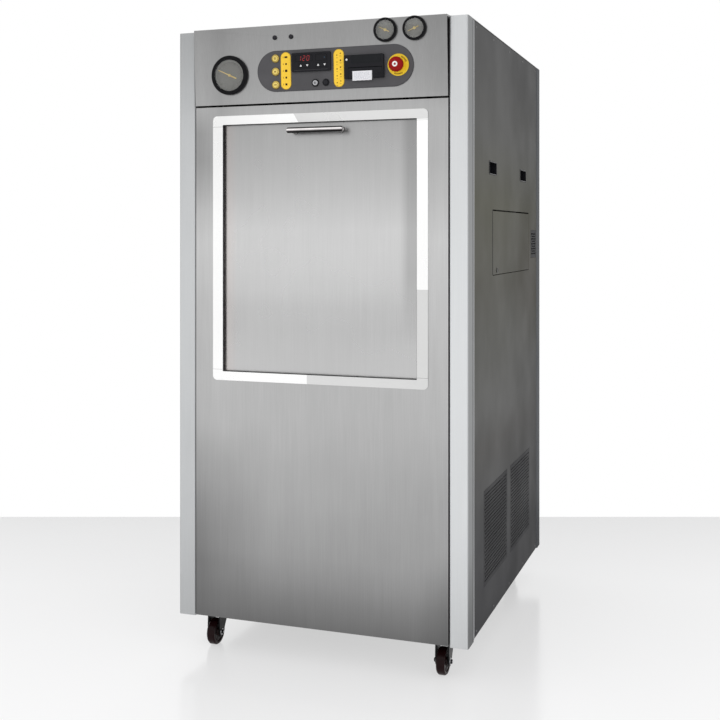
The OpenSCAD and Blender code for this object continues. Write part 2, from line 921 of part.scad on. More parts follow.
/* ---- chamber and steam side ---- */

module pressure_vessel() {
    color(silver) place() difference() {
        union() {
            translate([0, flange_y, aperture_mid])
                upright(chamber_w + 76, chamber_h + 76, flange_t, 60);
            translate([0, flange_y + flange_t - 1, aperture_mid])
                upright(vessel_w, vessel_h, chamber_d - flange_t + 11, 48);
        }
        translate([0, flange_y - 1, aperture_mid])
            upright(chamber_w, chamber_h, chamber_d + 1, 40);
        translate([0, flange_y - 1, aperture_mid]) difference() {
            upright(chamber_w + 48, chamber_h + 48, 9, 52);
            translate([0, -1, 0]) upright(chamber_w + 24, chamber_h + 24, 12, 46);
        }
        translate([0, drain_y, aperture_mid - vessel_h / 2 - 2]) cylinder(r = drain_r, h = 30);
    }
}

module door_gasket() {
    color([0.75, 0.22, 0.16]) place() translate([0, gasket_y, aperture_mid]) difference() {
        upright(chamber_w + 47, chamber_h + 47, 10.5, 51.5);
        translate([0, -1, 0]) upright(chamber_w + 25, chamber_h + 25, 13, 46.5);
    }
}

module insulation_jacket() {
    color([0.80, 0.79, 0.74]) place() difference() {
        translate([0, 84, aperture_mid]) upright(jacket_w, jacket_h, jacket_back - 84, 20);
        translate([0, 80, aperture_mid])
            upright(vessel_w + 2, vessel_h + 2, chamber_back + 11 - 80, 49);
        translate([0, drain_y, aperture_mid - jacket_h / 2 - 2]) cylinder(r = drain_r + 4, h = 60);
    }
}

module chamber_shelf() {
    shelf_w = chamber_w - 86;
    low = aperture_mid - chamber_h / 2;
    color(silver) place() difference() {
        union() {
            block([-shelf_w / 2, flange_y + 30, low + 24], [shelf_w / 2, chamber_back - 30, low + 26]);
            mirror_x()
                block([shelf_w / 2 - 3, flange_y + 30, low + 1],
                    [shelf_w / 2, chamber_back - 30, low + 40]);
            for (y = [flange_y + 30, chamber_back - 33])
                block([-shelf_w / 2, y, low + 24], [shelf_w / 2, y + 3, low + 40]);
        }
        for (i = [-3 : 3], j = [0 : 8])
            translate([i * 52, flange_y + 80 + j * 70, low]) cylinder(r = 11, h = 50);
    }
}

module steam_generator() {
    color(silver) place() translate([70, 560, ring_top - 38]) {
        for (x = [-80, 80], y = [-80, 80])
            translate([x, y, 0]) cylinder(r = 9, h = 90);
        translate([0, 0, 80]) cylinder(r = 130, h = 12);
        translate([0, 0, 90]) cylinder(r = 118, h = 420);
        translate([0, 0, 505]) cylinder(r1 = 118, r2 = 60, h = 34);
        translate([0, 0, 538]) cylinder(r = 16, h = 40);
        translate([0, 0, 200]) rotate([90, 0, 0]) cylinder(r = 40, h = 150);
        translate([0, -150, 200]) rotate([90, 0, 0]) cylinder(r = 52, h = 14);
        translate([-170, -110, 20]) cube([90, 200, 110]);
        translate([-130, 0, 128]) cylinder(r = 12, h = 60);
    }
}

module pipe(from, to, r) {
    span = to - from;
    length = norm(span);
    translate(from)
        rotate([0, acos(span[2] / length), atan2(span[1], span[0])])
            cylinder(r = r, h = length);
}

// A run of straight pipes with rounded elbows
module pipe_run(points, r) {
    last = len(points) - 1;
    for (i = [0 : last - 1])
        pipe(points[i], points[i + 1], r);
    for (i = [1 : last - 1])
        translate(points[i]) sphere(r);
}

// Threaded stub through the back panel
module rear_stub(at, r) {
    translate([at[0], 0, at[1]]) {
        round_y(r, body_d - 60, body_d + rear_out);
        translate([0, body_d + 2, 0]) rotate([90, 0, 0])
            cylinder(r = r * 1.45, h = 4, $fn = 6);
        translate([0, body_d - sheet - 2, 0]) rotate([90, 0, 0])
            cylinder(r = r * 1.45, h = 6, $fn = 6);
    }
}

module electrical_box() {
    color(dark_steel) place() {
        difference() {
            block([300, 400, 1065], [398, 820, 1305]);
            block([303, 403, 1068], [402, 817, 1302]);
        }
        block([303.5, 415, 1090], [306, 805, 1280]);
        for (z = [1125, 1225])
            block([306.5, 430, z], [314, 790, z + 35]);
        for (i = [0 : 5])
            block([314.5, 440 + i * 27, 1105], [372, 464 + i * 27, 1180]);
        block([314.5, 640, 1105], [380, 770, 1190]);
        block([314.5, 440, 1212], [360, 780, 1262]);
        translate([gland_at[0], 0, gland_at[1]]) {
            difference() {
                round_y(12, body_d - 20, body_d + 22);
                round_y(7, body_d - 21, body_d + 23);
            }
            for (y = [body_d + 2, body_d - sheet - 2])
                translate([0, y, 0]) rotate([90, 0, 0]) difference() {
                    cylinder(r = 18, h = 4, $fn = 6);
                    translate([0, 0, -1]) cylinder(r = 11, h = 6);
                }
        }
    }
}

module pipework() {
    color([0.72, 0.53, 0.30]) place() {
        rear_stub(inlet_at, inlet_r);
        rear_stub(drain_at, outlet_r);
        rear_stub(exhaust_at, exhaust_r);
        rear_stub(air_at, air_r);
        pipe_run([[drain_at[0], body_d - 60, drain_at[1]], [drain_at[0], 900, drain_at[1]],
            [drain_at[0], 900, 700], [-20, 900, 700], [-20, drain_y, 700],
            [0, drain_y, 700], [0, drain_y, 868]], 10);
        pipe_run([[exhaust_at[0], body_d - 60, exhaust_at[1]], [exhaust_at[0], 960, exhaust_at[1]],
            [exhaust_at[0], 960, 1560], [exhaust_at[0], 600, 1560]], 9);
        pipe_run([[inlet_at[0], body_d - 60, inlet_at[1]], [inlet_at[0], 940, inlet_at[1]],
            [-180, 940, inlet_at[1]], [-180, 550, inlet_at[1]], [-180, 550, 180],
            [-101, 550, 180]], 8);
        translate([exhaust_at[0], 600, 1506]) cylinder(r = 20, h = 80);
        translate([exhaust_at[0], 600, 1586]) cylinder(r = 12, h = 34);
    }
}

chassis();
corner_columns();
side_panel_left();
side_panel_right();
top_panel();
rear_panel();
front_panel();
door_trim();
control_fascia();
vent_grilles();
grip_cups();
access_flap();
flap_lock();
control_plate();
indicator_strips();
start_button();
stop_button();
door_button();
display_unit();
display_rocker_left();
display_rocker_right();
switch_bezels();
key_barrel();
reset_button();
printer_body();
printer_door();
paper_strip();
estop_base();
estop_plunger();
estop_head();
gauge_cases();
jacket_needle();
chamber_needle();
steam_needle();
gauge_glasses();
indicator_lamps();
castor_plates();
castor_fork_fl();
castor_fork_fr();
castor_fork_rl();
castor_fork_rr();
castor_wheel_fl();
castor_wheel_fr();
castor_wheel_rl();
castor_wheel_rr();
sliding_door();
door_handle();
door_rails();
gear_motor();
drive_shaft();
idler_shaft();
door_chains();
counterweights();
pressure_vessel();
door_gasket();
insulation_jacket();
chamber_shelf();
steam_generator();
electrical_box();
pipework();
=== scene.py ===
"""Looks of the floor-standing steam steriliser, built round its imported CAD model. Metres, front at -Y."""

import math
import random

import bmesh
import bpy
from mathutils import Matrix, Vector


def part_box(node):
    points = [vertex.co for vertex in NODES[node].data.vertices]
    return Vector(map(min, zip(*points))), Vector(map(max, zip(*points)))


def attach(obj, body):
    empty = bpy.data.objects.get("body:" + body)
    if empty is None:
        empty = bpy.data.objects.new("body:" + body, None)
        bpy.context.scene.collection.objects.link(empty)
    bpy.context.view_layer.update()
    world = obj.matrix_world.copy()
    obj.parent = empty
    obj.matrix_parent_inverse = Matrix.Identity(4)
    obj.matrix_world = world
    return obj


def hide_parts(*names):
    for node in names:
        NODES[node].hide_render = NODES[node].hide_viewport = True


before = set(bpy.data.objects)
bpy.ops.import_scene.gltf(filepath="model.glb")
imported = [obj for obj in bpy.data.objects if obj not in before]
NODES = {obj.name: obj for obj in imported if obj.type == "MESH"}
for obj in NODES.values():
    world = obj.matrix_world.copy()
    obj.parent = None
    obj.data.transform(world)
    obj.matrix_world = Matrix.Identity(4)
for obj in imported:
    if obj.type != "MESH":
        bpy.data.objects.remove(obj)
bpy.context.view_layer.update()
FINISHES = {}
MM = 0.001

# ---- places taken from the frame ----

FASCIA_TILT = math.radians(2.8)
FASCIA_HEIGHT = 0.218
FASCIA_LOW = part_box("control_fascia")[0]
FASCIA = Matrix.Translation(
    (0, FASCIA_LOW.y + FASCIA_HEIGHT * math.sin(FASCIA_TILT), FASCIA_LOW.z)
) @ Matrix.Rotation(FASCIA_TILT, 4, "X")
FRONT_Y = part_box("front_panel")[0].y
COLUMN_D = 68
FLAP_LOCK_BACK = 369
FLAP_LOCK_UP = 1101
DRAIN_BACK = 215


def at(x, y, z):
    """Point in the frame from millimetres across, behind the front panel's face and above the floor."""
    return Vector((x * MM, FRONT_Y + y * MM, z * MM))


def solids(node):
    """Boxes of a node's separate solids, from left to right."""
    mesh = bmesh.new()
    mesh.from_mesh(NODES[node].data)
    bmesh.ops.remove_doubles(mesh, verts=mesh.verts, dist=0.01 * MM)
    left = set(mesh.verts)
    boxes = []
    while left:
        group = [left.pop()]
        low, high = group[0].co.copy(), group[0].co.copy()
        while group:
            vertex = group.pop()
            low = Vector(map(min, low, vertex.co))
            high = Vector(map(max, high, vertex.co))
            for edge in vertex.link_edges:
                other = edge.other_vert(vertex)
                if other in left:
                    left.remove(other)
                    group.append(other)
        boxes.append((low, high))
    mesh.free()
    return sorted(boxes, key=lambda b: (round(b[0].x, 3), b[0].y, b[0].z))


def middle(box):
    """Centre point of a box."""
    return (box[0] + box[1]) / 2


def on_fascia(box):
    """Fascia coordinates of a box's centre: across, up the slope, outwards."""
    local = FASCIA.inverted() @ middle(box)
    return Vector((local.x, local.z, -local.y))


def fascia_place(across, up, out=0.0):
    """Frame whose local Z points out of the fascia and whose local Y runs up its slope."""
    return FASCIA @ Matrix.Translation((across, -out, up)) @ Matrix.Rotation(math.pi / 2, 4, "X")


# ---- materials ----


class Finish:
    """A Principled material and short ways to add texture nodes to it."""

    def __init__(self, name, color, rough, metal=0.0, **constants):
        self.material = bpy.data.materials.new(name)
        self.material.use_nodes = True
        self.tree = self.material.node_tree
        self.shader = self.tree.nodes["Principled BSDF"]
        self.place = self.tree.nodes.new("ShaderNodeTexCoord").outputs["Object"]
        self.color = color
        self.shader.inputs["Base Color"].default_value = (*color, 1)
        self.shader.inputs["Roughness"].default_value = rough
        self.shader.inputs["Metallic"].default_value = metal
        for socket, value in constants.items():
            self.shader.inputs[socket.replace("_", " ")].default_value = value
        FINISHES[name] = self.material

    def link(self, source, target):
        self.tree.links.new(source, target)

    def noise(self, scale, stretch=(1, 1, 1), detail=3.0, soft=0.5):
        """Noise over the object's own coordinates, with features about 1/scale metres apart."""
        mapping = self.tree.nodes.new("ShaderNodeMapping")
        mapping.inputs["Scale"].default_value = [scale * s for s in stretch]
        self.link(self.place, mapping.inputs["Vector"])
        texture = self.tree.nodes.new("ShaderNodeTexNoise")
        texture.inputs["Scale"].default_value = 1.0
        texture.inputs["Detail"].default_value = detail
        texture.inputs["Roughness"].default_value = soft
        self.link(mapping.outputs["Vector"], texture.inputs["Vector"])
        return texture.outputs["Fac"]

    def ramp(self, value, *stops):
        """Grey or colour at each position from 0 to 1."""
        node = self.tree.nodes.new("ShaderNodeValToRGB")
        elements = node.color_ramp.elements
        while len(elements) < len(stops):
            elements.new(1.0)
        for element, (position, tone) in zip(elements, stops):
            element.position = position
            element.color = (*tone, 1) if isinstance(tone, tuple) else (tone, tone, tone, 1)
        self.link(value, node.inputs["Fac"])
        return node.outputs["Color"]

    def span(self, value, low, high, to_low=0.0, to_high=1.0):
        node = self.tree.nodes.new("ShaderNodeMapRange")
        self.link(value, node.inputs["Value"])
        for socket, number in zip(("From Min", "From Max", "To Min", "To Max"), (low, high, to_low, to_high)):
            node.inputs[socket].default_value = number
        return node.outputs["Result"]

    def axis(self, name, source=None):
        node = self.tree.nodes.new("ShaderNodeSeparateXYZ")
        self.link(source or self.place, node.inputs["Vector"])
        return node.outputs[name]

    def math(self, operation, a, b=0.0):
        node = self.tree.nodes.new("ShaderNodeMath")
        node.operation = operation
        for socket, value in zip(node.inputs, (a, b)):
            if isinstance(value, (int, float)):
                socket.default_value = value
            else:
                self.link(value, socket)
        return node.outputs["Value"]

    def blend(self, kind, fac, a, b):
        node = self.tree.nodes.new("ShaderNodeMix")
        node.data_type = "RGBA"
        node.blend_type = kind
        for socket, value in ((node.inputs[0], fac), (node.inputs[6], a), (node.inputs[7], b)):
            if isinstance(value, tuple):
                socket.default_value = (*value, 1)
            elif isinstance(value, (int, float)):
                socket.default_value = value
            else:
                self.link(value, socket)
        return node.outputs[2]

    def tint(self, shade, amount=1.0):
        """Multiplies the colour so far by a grey or colour texture."""
        current = self.shader.inputs["Base Color"]
        before = current.links[0].from_socket if current.is_linked else tuple(current.default_value[:3])
        self.link(self.blend("MULTIPLY", amount, before, shade), current)
        return self

    def rough(self, value, low, high):
        self.link(self.span(value, 0.3, 0.7, low, high), self.shader.inputs["Roughness"])
        return self

    def bump(self, height, strength, distance=0.2 * MM):
        node = self.tree.nodes.new("ShaderNodeBump")
        node.inputs["Strength"].default_value = strength
        node.inputs["Distance"].default_value = distance
        self.link(height, node.inputs["Height"])
        normal = self.shader.inputs["Normal"]
        if normal.is_linked:
            self.link(normal.links[0].from_socket, node.inputs["Normal"])
        self.link(node.outputs["Normal"], normal)
        return self


def painted_light_by_height(finish, *stops):
    """Painted light and shade along the height of the machine, tuned against measured tones of the reference
    picture.

    Each stop is metres above the floor and a tone.
    """
    low, high = stops[0][0], stops[-1][0]
    height = finish.span(finish.axis("Z"), low, high)
    return finish.tint(finish.ramp(height, *[((z - low) / (high - low), tone) for z, tone in stops]))


def painted_light_patch(finish, tone, *fades):
    """Painted light and shade over a soft-edged area: a tone under one is painted shade, over one a painted
    highlight; each fade is an axis and where the area begins and is full.
    """
    cover = 1.0
    for name, start, full in fades:
        part = finish.span(finish.axis(name), start, full)
        cover = part if cover == 1.0 else finish.math("MULTIPLY", cover, part)
    return finish.tint(finish.ramp(cover, (0.0, 1.0), (1.0, tone)))


def painted_underside_shade(finish, tone):
    """Painted shade: darker where the surface faces down, as a polished part over a floor shows."""
    geometry = finish.tree.nodes.new("ShaderNodeNewGeometry")
    facing_up = finish.span(finish.axis("Z", geometry.outputs["Normal"]), -1.0, 1.0)
    return finish.tint(finish.ramp(facing_up, (0.10, tone), (0.42, (tone + 1) / 2), (0.62, 1.0)))


def brushed(name, color, rough, grain, streak=0.10, **constants):
    """Brushed sheet: fine streaks along the grain axis, soft handling marks and uneven gloss."""
    finish = Finish(name, color, rough, 1.0, **constants)
    fine = finish.noise(900, [0.008 if axis == grain else 1.0 for axis in "XYZ"], 2.0)
    broad = finish.noise(60, [0.06 if axis == grain else 1.0 for axis in "XYZ"], 3.0)
    finish.tint(finish.ramp(fine, (0.30, 1 - streak), (0.70, 1.0)))
    finish.tint(finish.ramp(broad, (0.30, 1 - streak * 0.5), (0.70, 1.0)))
    finish.tint(finish.ramp(finish.noise(3.2, (1, 1, 1), 4.0), (0.35, 0.95), (0.65, 1.0)))
    finish.rough(finish.noise(5, (1, 1, 1), 2.0), rough - 0.04, rough + 0.06)
    return finish.bump(broad, 0.06, 0.1 * MM)


def moulded(name, color, rough, grain=900, gloss=0.2, **constants):
    """Moulded or painted surface: fine grain, slight mottling and rubbed patches."""
    finish = Finish(name, color, rough, Specular_IOR_Level=gloss, **constants)
    fine = finish.noise(grain, (1, 1, 1), 3.0)
    finish.tint(finish.ramp(finish.noise(25, (1, 1, 1), 4.0), (0.3, 0.90), (0.7, 1.0)))
    finish.rough(finish.noise(60, (1, 1, 1), 4.0), rough - 0.06, rough + 0.10)
    return finish.bump(fine, 0.12, 0.05 * MM)


def machined(name, color, rough, **constants):
    """Bare metal with tool marks, stains and a dull patina in patches."""
    finish = Finish(name, color, rough, 1.0, **constants)
    finish.tint(finish.ramp(finish.noise(18, (1, 1, 1), 5.0, 0.6), (0.3, 0.78), (0.6, 1.0)))
    finish.rough(finish.noise(40, (1, 1, 1), 4.0), rough - 0.08, rough + 0.14)
    return finish.bump(finish.noise(500, (1, 1, 1), 2.0), 0.12, 0.06 * MM)


def stainless_front():
    """Brushed front panel with painted reflections: lightest about two thirds up, painted shade towards the
    floor and the fascia, and softer areas of painted shade and painted highlight.
    """
    finish = brushed("stainless_front", (0.64, 0.64, 0.64), 0.32, "Z", 0.08)
    # Painted reflection along the height: light about two thirds up, painted shade low down and near the
    # fascia.
    painted_light_by_height(finish, (0.10, 0.28), (0.13, 0.32), (0.18, 0.385), (0.23, 0.465), (0.30, 0.55), (0.34, 0.575),
              (0.41, 0.60), (0.55, 0.67), (0.69, 0.77), (0.87, 0.825), (1.09, 0.955), (1.19, 0.995),
              (1.30, 0.85), (1.41, 0.72), (1.55, 0.65), (1.66, 0.545), (1.80, 0.43))
    # Painted shade down the left edge, low on both sides, high on the left and at the top right; a painted
    # highlight at the top left.
    painted_light_patch(finish, 0.93, ("X", -0.30, -0.37))
    painted_light_patch(finish, 0.66, ("X", -0.15, -0.37), ("Z", 0.66, 0.36), ("Z", 0.08, 0.26))
    painted_light_patch(finish, 0.76, ("X", 0.28, 0.37), ("Z", 0.36, 0.20))
    painted_light_patch(finish, 0.80, ("X", -0.22, -0.36), ("Z", 1.28, 1.42))
    painted_light_patch(finish, 1.35, ("X", -0.30, -0.36), ("Z", 1.50, 1.58))
    return painted_light_patch(finish, 0.86, ("X", 0.24, 0.36), ("Z", 1.54, 1.60))


def door_steel():
    """Brushed door with painted reflections: lightest near its middle, a band of painted shade down the upper
    right edge and a pinkish painted highlight down the left edge.
    """
    finish = brushed("door_steel", (0.66, 0.66, 0.66), 0.28, "Z", 0.05)
    # Painted reflection along the height of the door.
    painted_light_by_height(finish, (0.80, 0.86), (0.94, 0.82), (1.00, 0.845), (1.05, 0.925), (1.11, 0.98), (1.16, 1.0),
              (1.22, 0.985), (1.28, 0.885), (1.33, 0.80), (1.39, 0.72), (1.44, 0.66), (1.50, 0.59),
              (1.54, 0.52))
    # Painted shade band at the right edge and a pinkish painted highlight at the left edge.
    painted_light_patch(finish, 0.76, ("X", 0.240, 0.262), ("Z", 0.90, 1.10))
    return painted_light_patch(finish, (1.05, 0.99, 0.97), ("X", -0.250, -0.285))


def stainless_side():
    """Brushed skin with painted reflections: a dark base tone as painted shade, olive at mid height and
    brownish and darker towards the rear, as the room shows in it.
    """
    # Dark base tone: painted shade, a darker copy of the front panel's steel.
    finish = brushed("stainless_side", (0.155, 0.155, 0.155), 0.36, "Z", 0.10,
                     Specular_Tint=(0.55, 0.55, 0.55, 1))
    # Painted reflections of the room: warm tone at mid height towards the rear, darker towards the rear.
    painted_light_patch(finish, (0.90, 0.84, 0.76), ("Y", 0.05, 0.35), ("Z", 1.32, 1.12), ("Z", 0.80, 0.98))
    painted_light_patch(finish, 0.67, ("Y", -0.10, 0.30))
    # Painted reflection along the height, olive at mid height.
    return painted_light_by_height(
        finish, (0.10, (0.26, 0.26, 0.29)), (0.34, (0.46, 0.46, 0.49)), (0.48, (0.62, 0.62, 0.62)),
        (0.60, (0.74, 0.72, 0.69)), (0.70, (1.0, 1.0, 0.97)), (0.92, (0.90, 0.90, 0.81)),
        (1.06, (0.78, 0.76, 0.63)), (1.30, (0.88, 0.87, 0.66)), (1.50, (0.86, 0.86, 0.82)),
        (1.80, (0.70, 0.70, 0.71)))


def column_silver():
    """Satin extrusion with painted reflections: tone painted along the height, the left column painted darker
    and darker still near its top, painted shade on the faces that look sideways and low on the right column's
    side, and darker and bluish towards the rear.
    """
    finish = Finish("column_silver", (0.74, 0.755, 0.765), 0.42, 0.60, Specular_Tint=(0.3, 0.3, 0.3, 1))
    fine = finish.noise(900, (1.0, 1.0, 0.006), 2.0)
    finish.tint(finish.ramp(fine, (0.3, 0.96), (0.7, 1.0)))
    finish.tint(finish.ramp(finish.noise(4, (1, 1, 0.3), 4.0), (0.3, 0.95), (0.7, 1.0)))
    # Painted reflection along the height.
    painted_light_by_height(finish, (0.10, 0.84), (0.40, 0.96), (0.80, 1.0), (1.14, 0.99), (1.30, 0.95), (1.46, 0.90),
              (1.57, 0.84), (1.80, 0.80))
    # Painted shade over the left column, stronger near its top.
    painted_light_patch(finish, 0.81, ("X", 0.0, -0.38))
    painted_light_patch(finish, 0.76, ("X", 0.0, -0.38), ("Z", 1.55, 1.78))
    geometry = finish.tree.nodes.new("ShaderNodeNewGeometry")
    # Painted shade on the faces that look sideways.
    sideways = finish.math("ABSOLUTE", finish.axis("X", geometry.outputs["Normal"]))
    finish.tint(finish.ramp(sideways, (0.45, 1.0), (0.90, 0.53)))
    # Painted shade low on the right column's outer side.
    painted_light_patch(finish, 0.60, ("X", 0.431, 0.432), ("Z", 0.35, 0.14))
    painted_light_patch(finish, (0.27, 0.28, 0.30), ("Y", 0.30, 0.40))
    finish.rough(finish.noise(9, (1, 1, 0.4), 4.0), 0.36, 0.50)
    return finish.bump(finish.noise(40, (1, 1, 0.1), 2.0), 0.05, 0.1 * MM)


def trim_white():
    """Polished frame with painted reflections: near-white as a painted highlight where it catches the light,
    painted shade beyond slanted boundaries and down the left side, and dark seam lines where its pieces meet.
    """
    finish = Finish("trim_white", (0.985, 0.985, 0.98), 0.30, 0.50)
    across, height = finish.axis("X"), finish.axis("Z")
    # Zones of painted shade on the top, bottom and lower right pieces, with slanted boundaries; dull marks
    # these zones.
    slanted = finish.math("ADD", across, finish.math("MULTIPLY", height, 0.6))
    low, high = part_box("door_trim")
    top_cut = (low.x * 0.22 + high.z * 0.6)
    upper = finish.math("GREATER_THAN", height, high.z - 0.028)
    lower = finish.math("LESS_THAN", height, low.z + 0.028)
    top = finish.math("MULTIPLY", upper, finish.math("GREATER_THAN", slanted, top_cut))
    bottom = finish.math("MULTIPLY", lower, finish.math("GREATER_THAN", across, -0.03))
    side = finish.math("MULTIPLY", finish.math("GREATER_THAN", across, 0.27),
                       finish.math("LESS_THAN", height, low.z + 0.27))
    dull = finish.math("MINIMUM", finish.math("ADD", finish.math("ADD", top, bottom), side), 1.0)
    finish.tint(finish.ramp(dull, (0.0, 1.0), (1.0, 0.71)))
    # Painted shade down the left side.
    painted_light_patch(finish, 0.84, ("X", 0.0, -0.29), ("Z", low.z + 0.45, high.z - 0.05))
    for seam in (low.z + 0.031, high.z - 0.031):
        near = finish.math("LESS_THAN", finish.math("ABSOLUTE", finish.math("SUBTRACT", height, seam)),
                           0.0006)
        finish.tint(finish.ramp(near, (0.0, 1.0), (1.0, 0.55)))
    finish.tint(finish.ramp(finish.noise(5, (1, 1, 1), 3.0), (0.3, 0.97), (0.7, 1.0)))
    finish.rough(finish.noise(8, (1, 1, 1), 2.0), 0.26, 0.36)
    return finish.bump(finish.noise(20, (1, 1, 1), 1.0), 0.05, 0.1 * MM)


def vents_metal():
    """Perforated sheet, a shade darker than the panel round it and mottled with darker spots."""
    finish = brushed("stainless_vent", (0.060, 0.060, 0.064), 0.42, "Y", 0.15,
                     Specular_Tint=(0.55, 0.55, 0.55, 1))
    return finish.tint(finish.ramp(finish.noise(9, (1, 1, 1), 5.0), (0.3, 0.75), (0.7, 1.0)))


def handle_steel():
    """Polished bar with painted reflections: a painted highlight where it faces the room, painted shade black
    along its upper and lower edges.
    """
    finish = machined("handle_steel", (0.80, 0.77, 0.77), 0.16)
    geometry = finish.tree.nodes.new("ShaderNodeNewGeometry")
    facing_up = finish.span(finish.axis("Z", geometry.outputs["Normal"]), -1.0, 1.0)
    # Painted highlight on the faces that look forward, painted shade on those that look up and down.
    finish.tint(finish.ramp(facing_up, (0.24, 0.02), (0.33, 0.12), (0.42, 0.70), (0.55, 1.0), (0.70, 0.85),
                            (0.80, 0.06), (0.90, 0.02)))


def make_finishes():
    """Every material, made once and found again by name."""
    stainless_front()
    door_steel()
    stainless_side()
    column_silver()
    trim_white()
    vents_metal()
    plate = moulded("plate_grey", (0.088, 0.086, 0.092), 0.42)
    plate.tint(plate.ramp(plate.noise(6, (1, 1, 1), 3.0), (0.3, 0.85), (0.7, 1.0)))
    moulded("overlay_yellow", (0.98, 0.63, 0.05), 0.38, 700)
    moulded("button_yellow", (0.80, 0.62, 0.17), 0.30, 600)
    moulded("button_rim", (0.30, 0.20, 0.03), 0.35, 600)
    moulded("panel_black", (0.010, 0.010, 0.013), 0.34, gloss=0.14)
    moulded("panel_gloss", (0.007, 0.008, 0.010), 0.14, 300, gloss=0.16)
    moulded("gauge_black", (0.004, 0.004, 0.005), 0.30, gloss=0.10)
    moulded("dial_grey", (0.245, 0.245, 0.228), 0.55, 60, gloss=0.1)
    moulded("dial_marks", (0.055, 0.055, 0.055), 0.50, 60, gloss=0.1)
    moulded("needle_yellow", (0.85, 0.66, 0.25), 0.35, 800)
    moulded("lamp_dark", (0.012, 0.012, 0.016), 0.16, 300)
    moulded("estop_yellow", (0.88, 0.60, 0.03), 0.34, 600)
    moulded("estop_red", (0.30, 0.012, 0.012), 0.40, 600, gloss=0.03)
    moulded("mark_white", (0.84, 0.84, 0.84), 0.40, 800)
    moulded("mark_brown", (0.13, 0.055, 0.01), 0.50, 800, gloss=0.1)
    moulded("mark_dark", (0.03, 0.012, 0.006), 0.50, 800, gloss=0.1)
    moulded("paper_white", (0.84, 0.84, 0.87), 0.80, 1200)
    moulded("print_grey", (0.42, 0.43, 0.50), 0.80, 1200, gloss=0.1)
    moulded("castor_black", (0.004, 0.004, 0.005), 0.36, gloss=0.16)
    moulded("wheel_maroon", (0.010, 0.0015, 0.002), 0.30, gloss=0.12)
    moulded("field_grey", (0.34, 0.34, 0.35), 0.50)
    moulded("wheel_core", (0.010, 0.006, 0.006), 0.40, gloss=0.14)
    moulded("edge_grey", (0.05, 0.05, 0.055), 0.45)
    moulded("seal_black", (0.02, 0.02, 0.022), 0.60)
    moulded("gasket_red", (0.50, 0.045, 0.02), 0.50)
    moulded("motor_blue", (0.03, 0.075, 0.13), 0.36, gloss=0.5)
    moulded("box_grey", (0.50, 0.50, 0.47), 0.46, gloss=0.4)
    moulded("frame_dark", (0.11, 0.11, 0.108), 0.50, gloss=0.4)
    moulded("weight_iron", (0.06, 0.058, 0.055), 0.62, 300, gloss=0.4)
    # Painted shade on the key chrome's faces that look down.
    painted_underside_shade(machined("key_chrome", (0.62, 0.62, 0.64), 0.18), 0.35)
    handle_steel()
    machined("lock_dark", (0.10, 0.10, 0.10), 0.30)
    brushed("vessel_steel", (0.60, 0.60, 0.59), 0.26, "Y", 0.14)
    machined("shaft_steel", (0.52, 0.52, 0.52), 0.24)
    machined("chain_steel", (0.20, 0.19, 0.18), 0.36)
    machined("boiler_steel", (0.56, 0.56, 0.55), 0.32)
    machined("pipe_copper", (0.72, 0.38, 0.22), 0.26)
    machined("pipe_brass", (0.66, 0.50, 0.24), 0.24)
    machined("screw_steel", (0.30, 0.30, 0.30), 0.30)
    # Bright steel for the columns' edge strips, a painted highlight, and dark grey for their groove strips,
    # painted shade.
    brushed("edge_highlight_silver", (0.62, 0.63, 0.64), 0.34, "Z", 0.06, Specular_Tint=(0.5, 0.5, 0.5, 1))
    brushed("groove_shade_grey", (0.16, 0.16, 0.165), 0.45, "Z", 0.06, Specular_Tint=(0.5, 0.5, 0.5, 1))
    foil = machined("insulation_foil", (0.72, 0.72, 0.70), 0.30)
    foil.bump(foil.noise(28, (1, 1, 1), 5.0, 0.65), 0.8, 3 * MM)
    glow = Finish("digit_red", (0.16, 0.004, 0.006), 0.35)
    glow.shader.inputs["Emission Color"].default_value = (0.55, 0.01, 0.015, 1)
    glow.shader.inputs["Emission Strength"].default_value = 0.40
    glow.tint(glow.ramp(glow.noise(900), (0.3, 0.8), (0.7, 1.0)))
    glass = Finish("clear_glass", (1.0, 1.0, 1.0), 0.03, 0.0, IOR=1.45)
    glass.shader.inputs["Transmission Weight"].default_value = 1.0
    glass.rough(glass.noise(8), 0.0, 0.01)


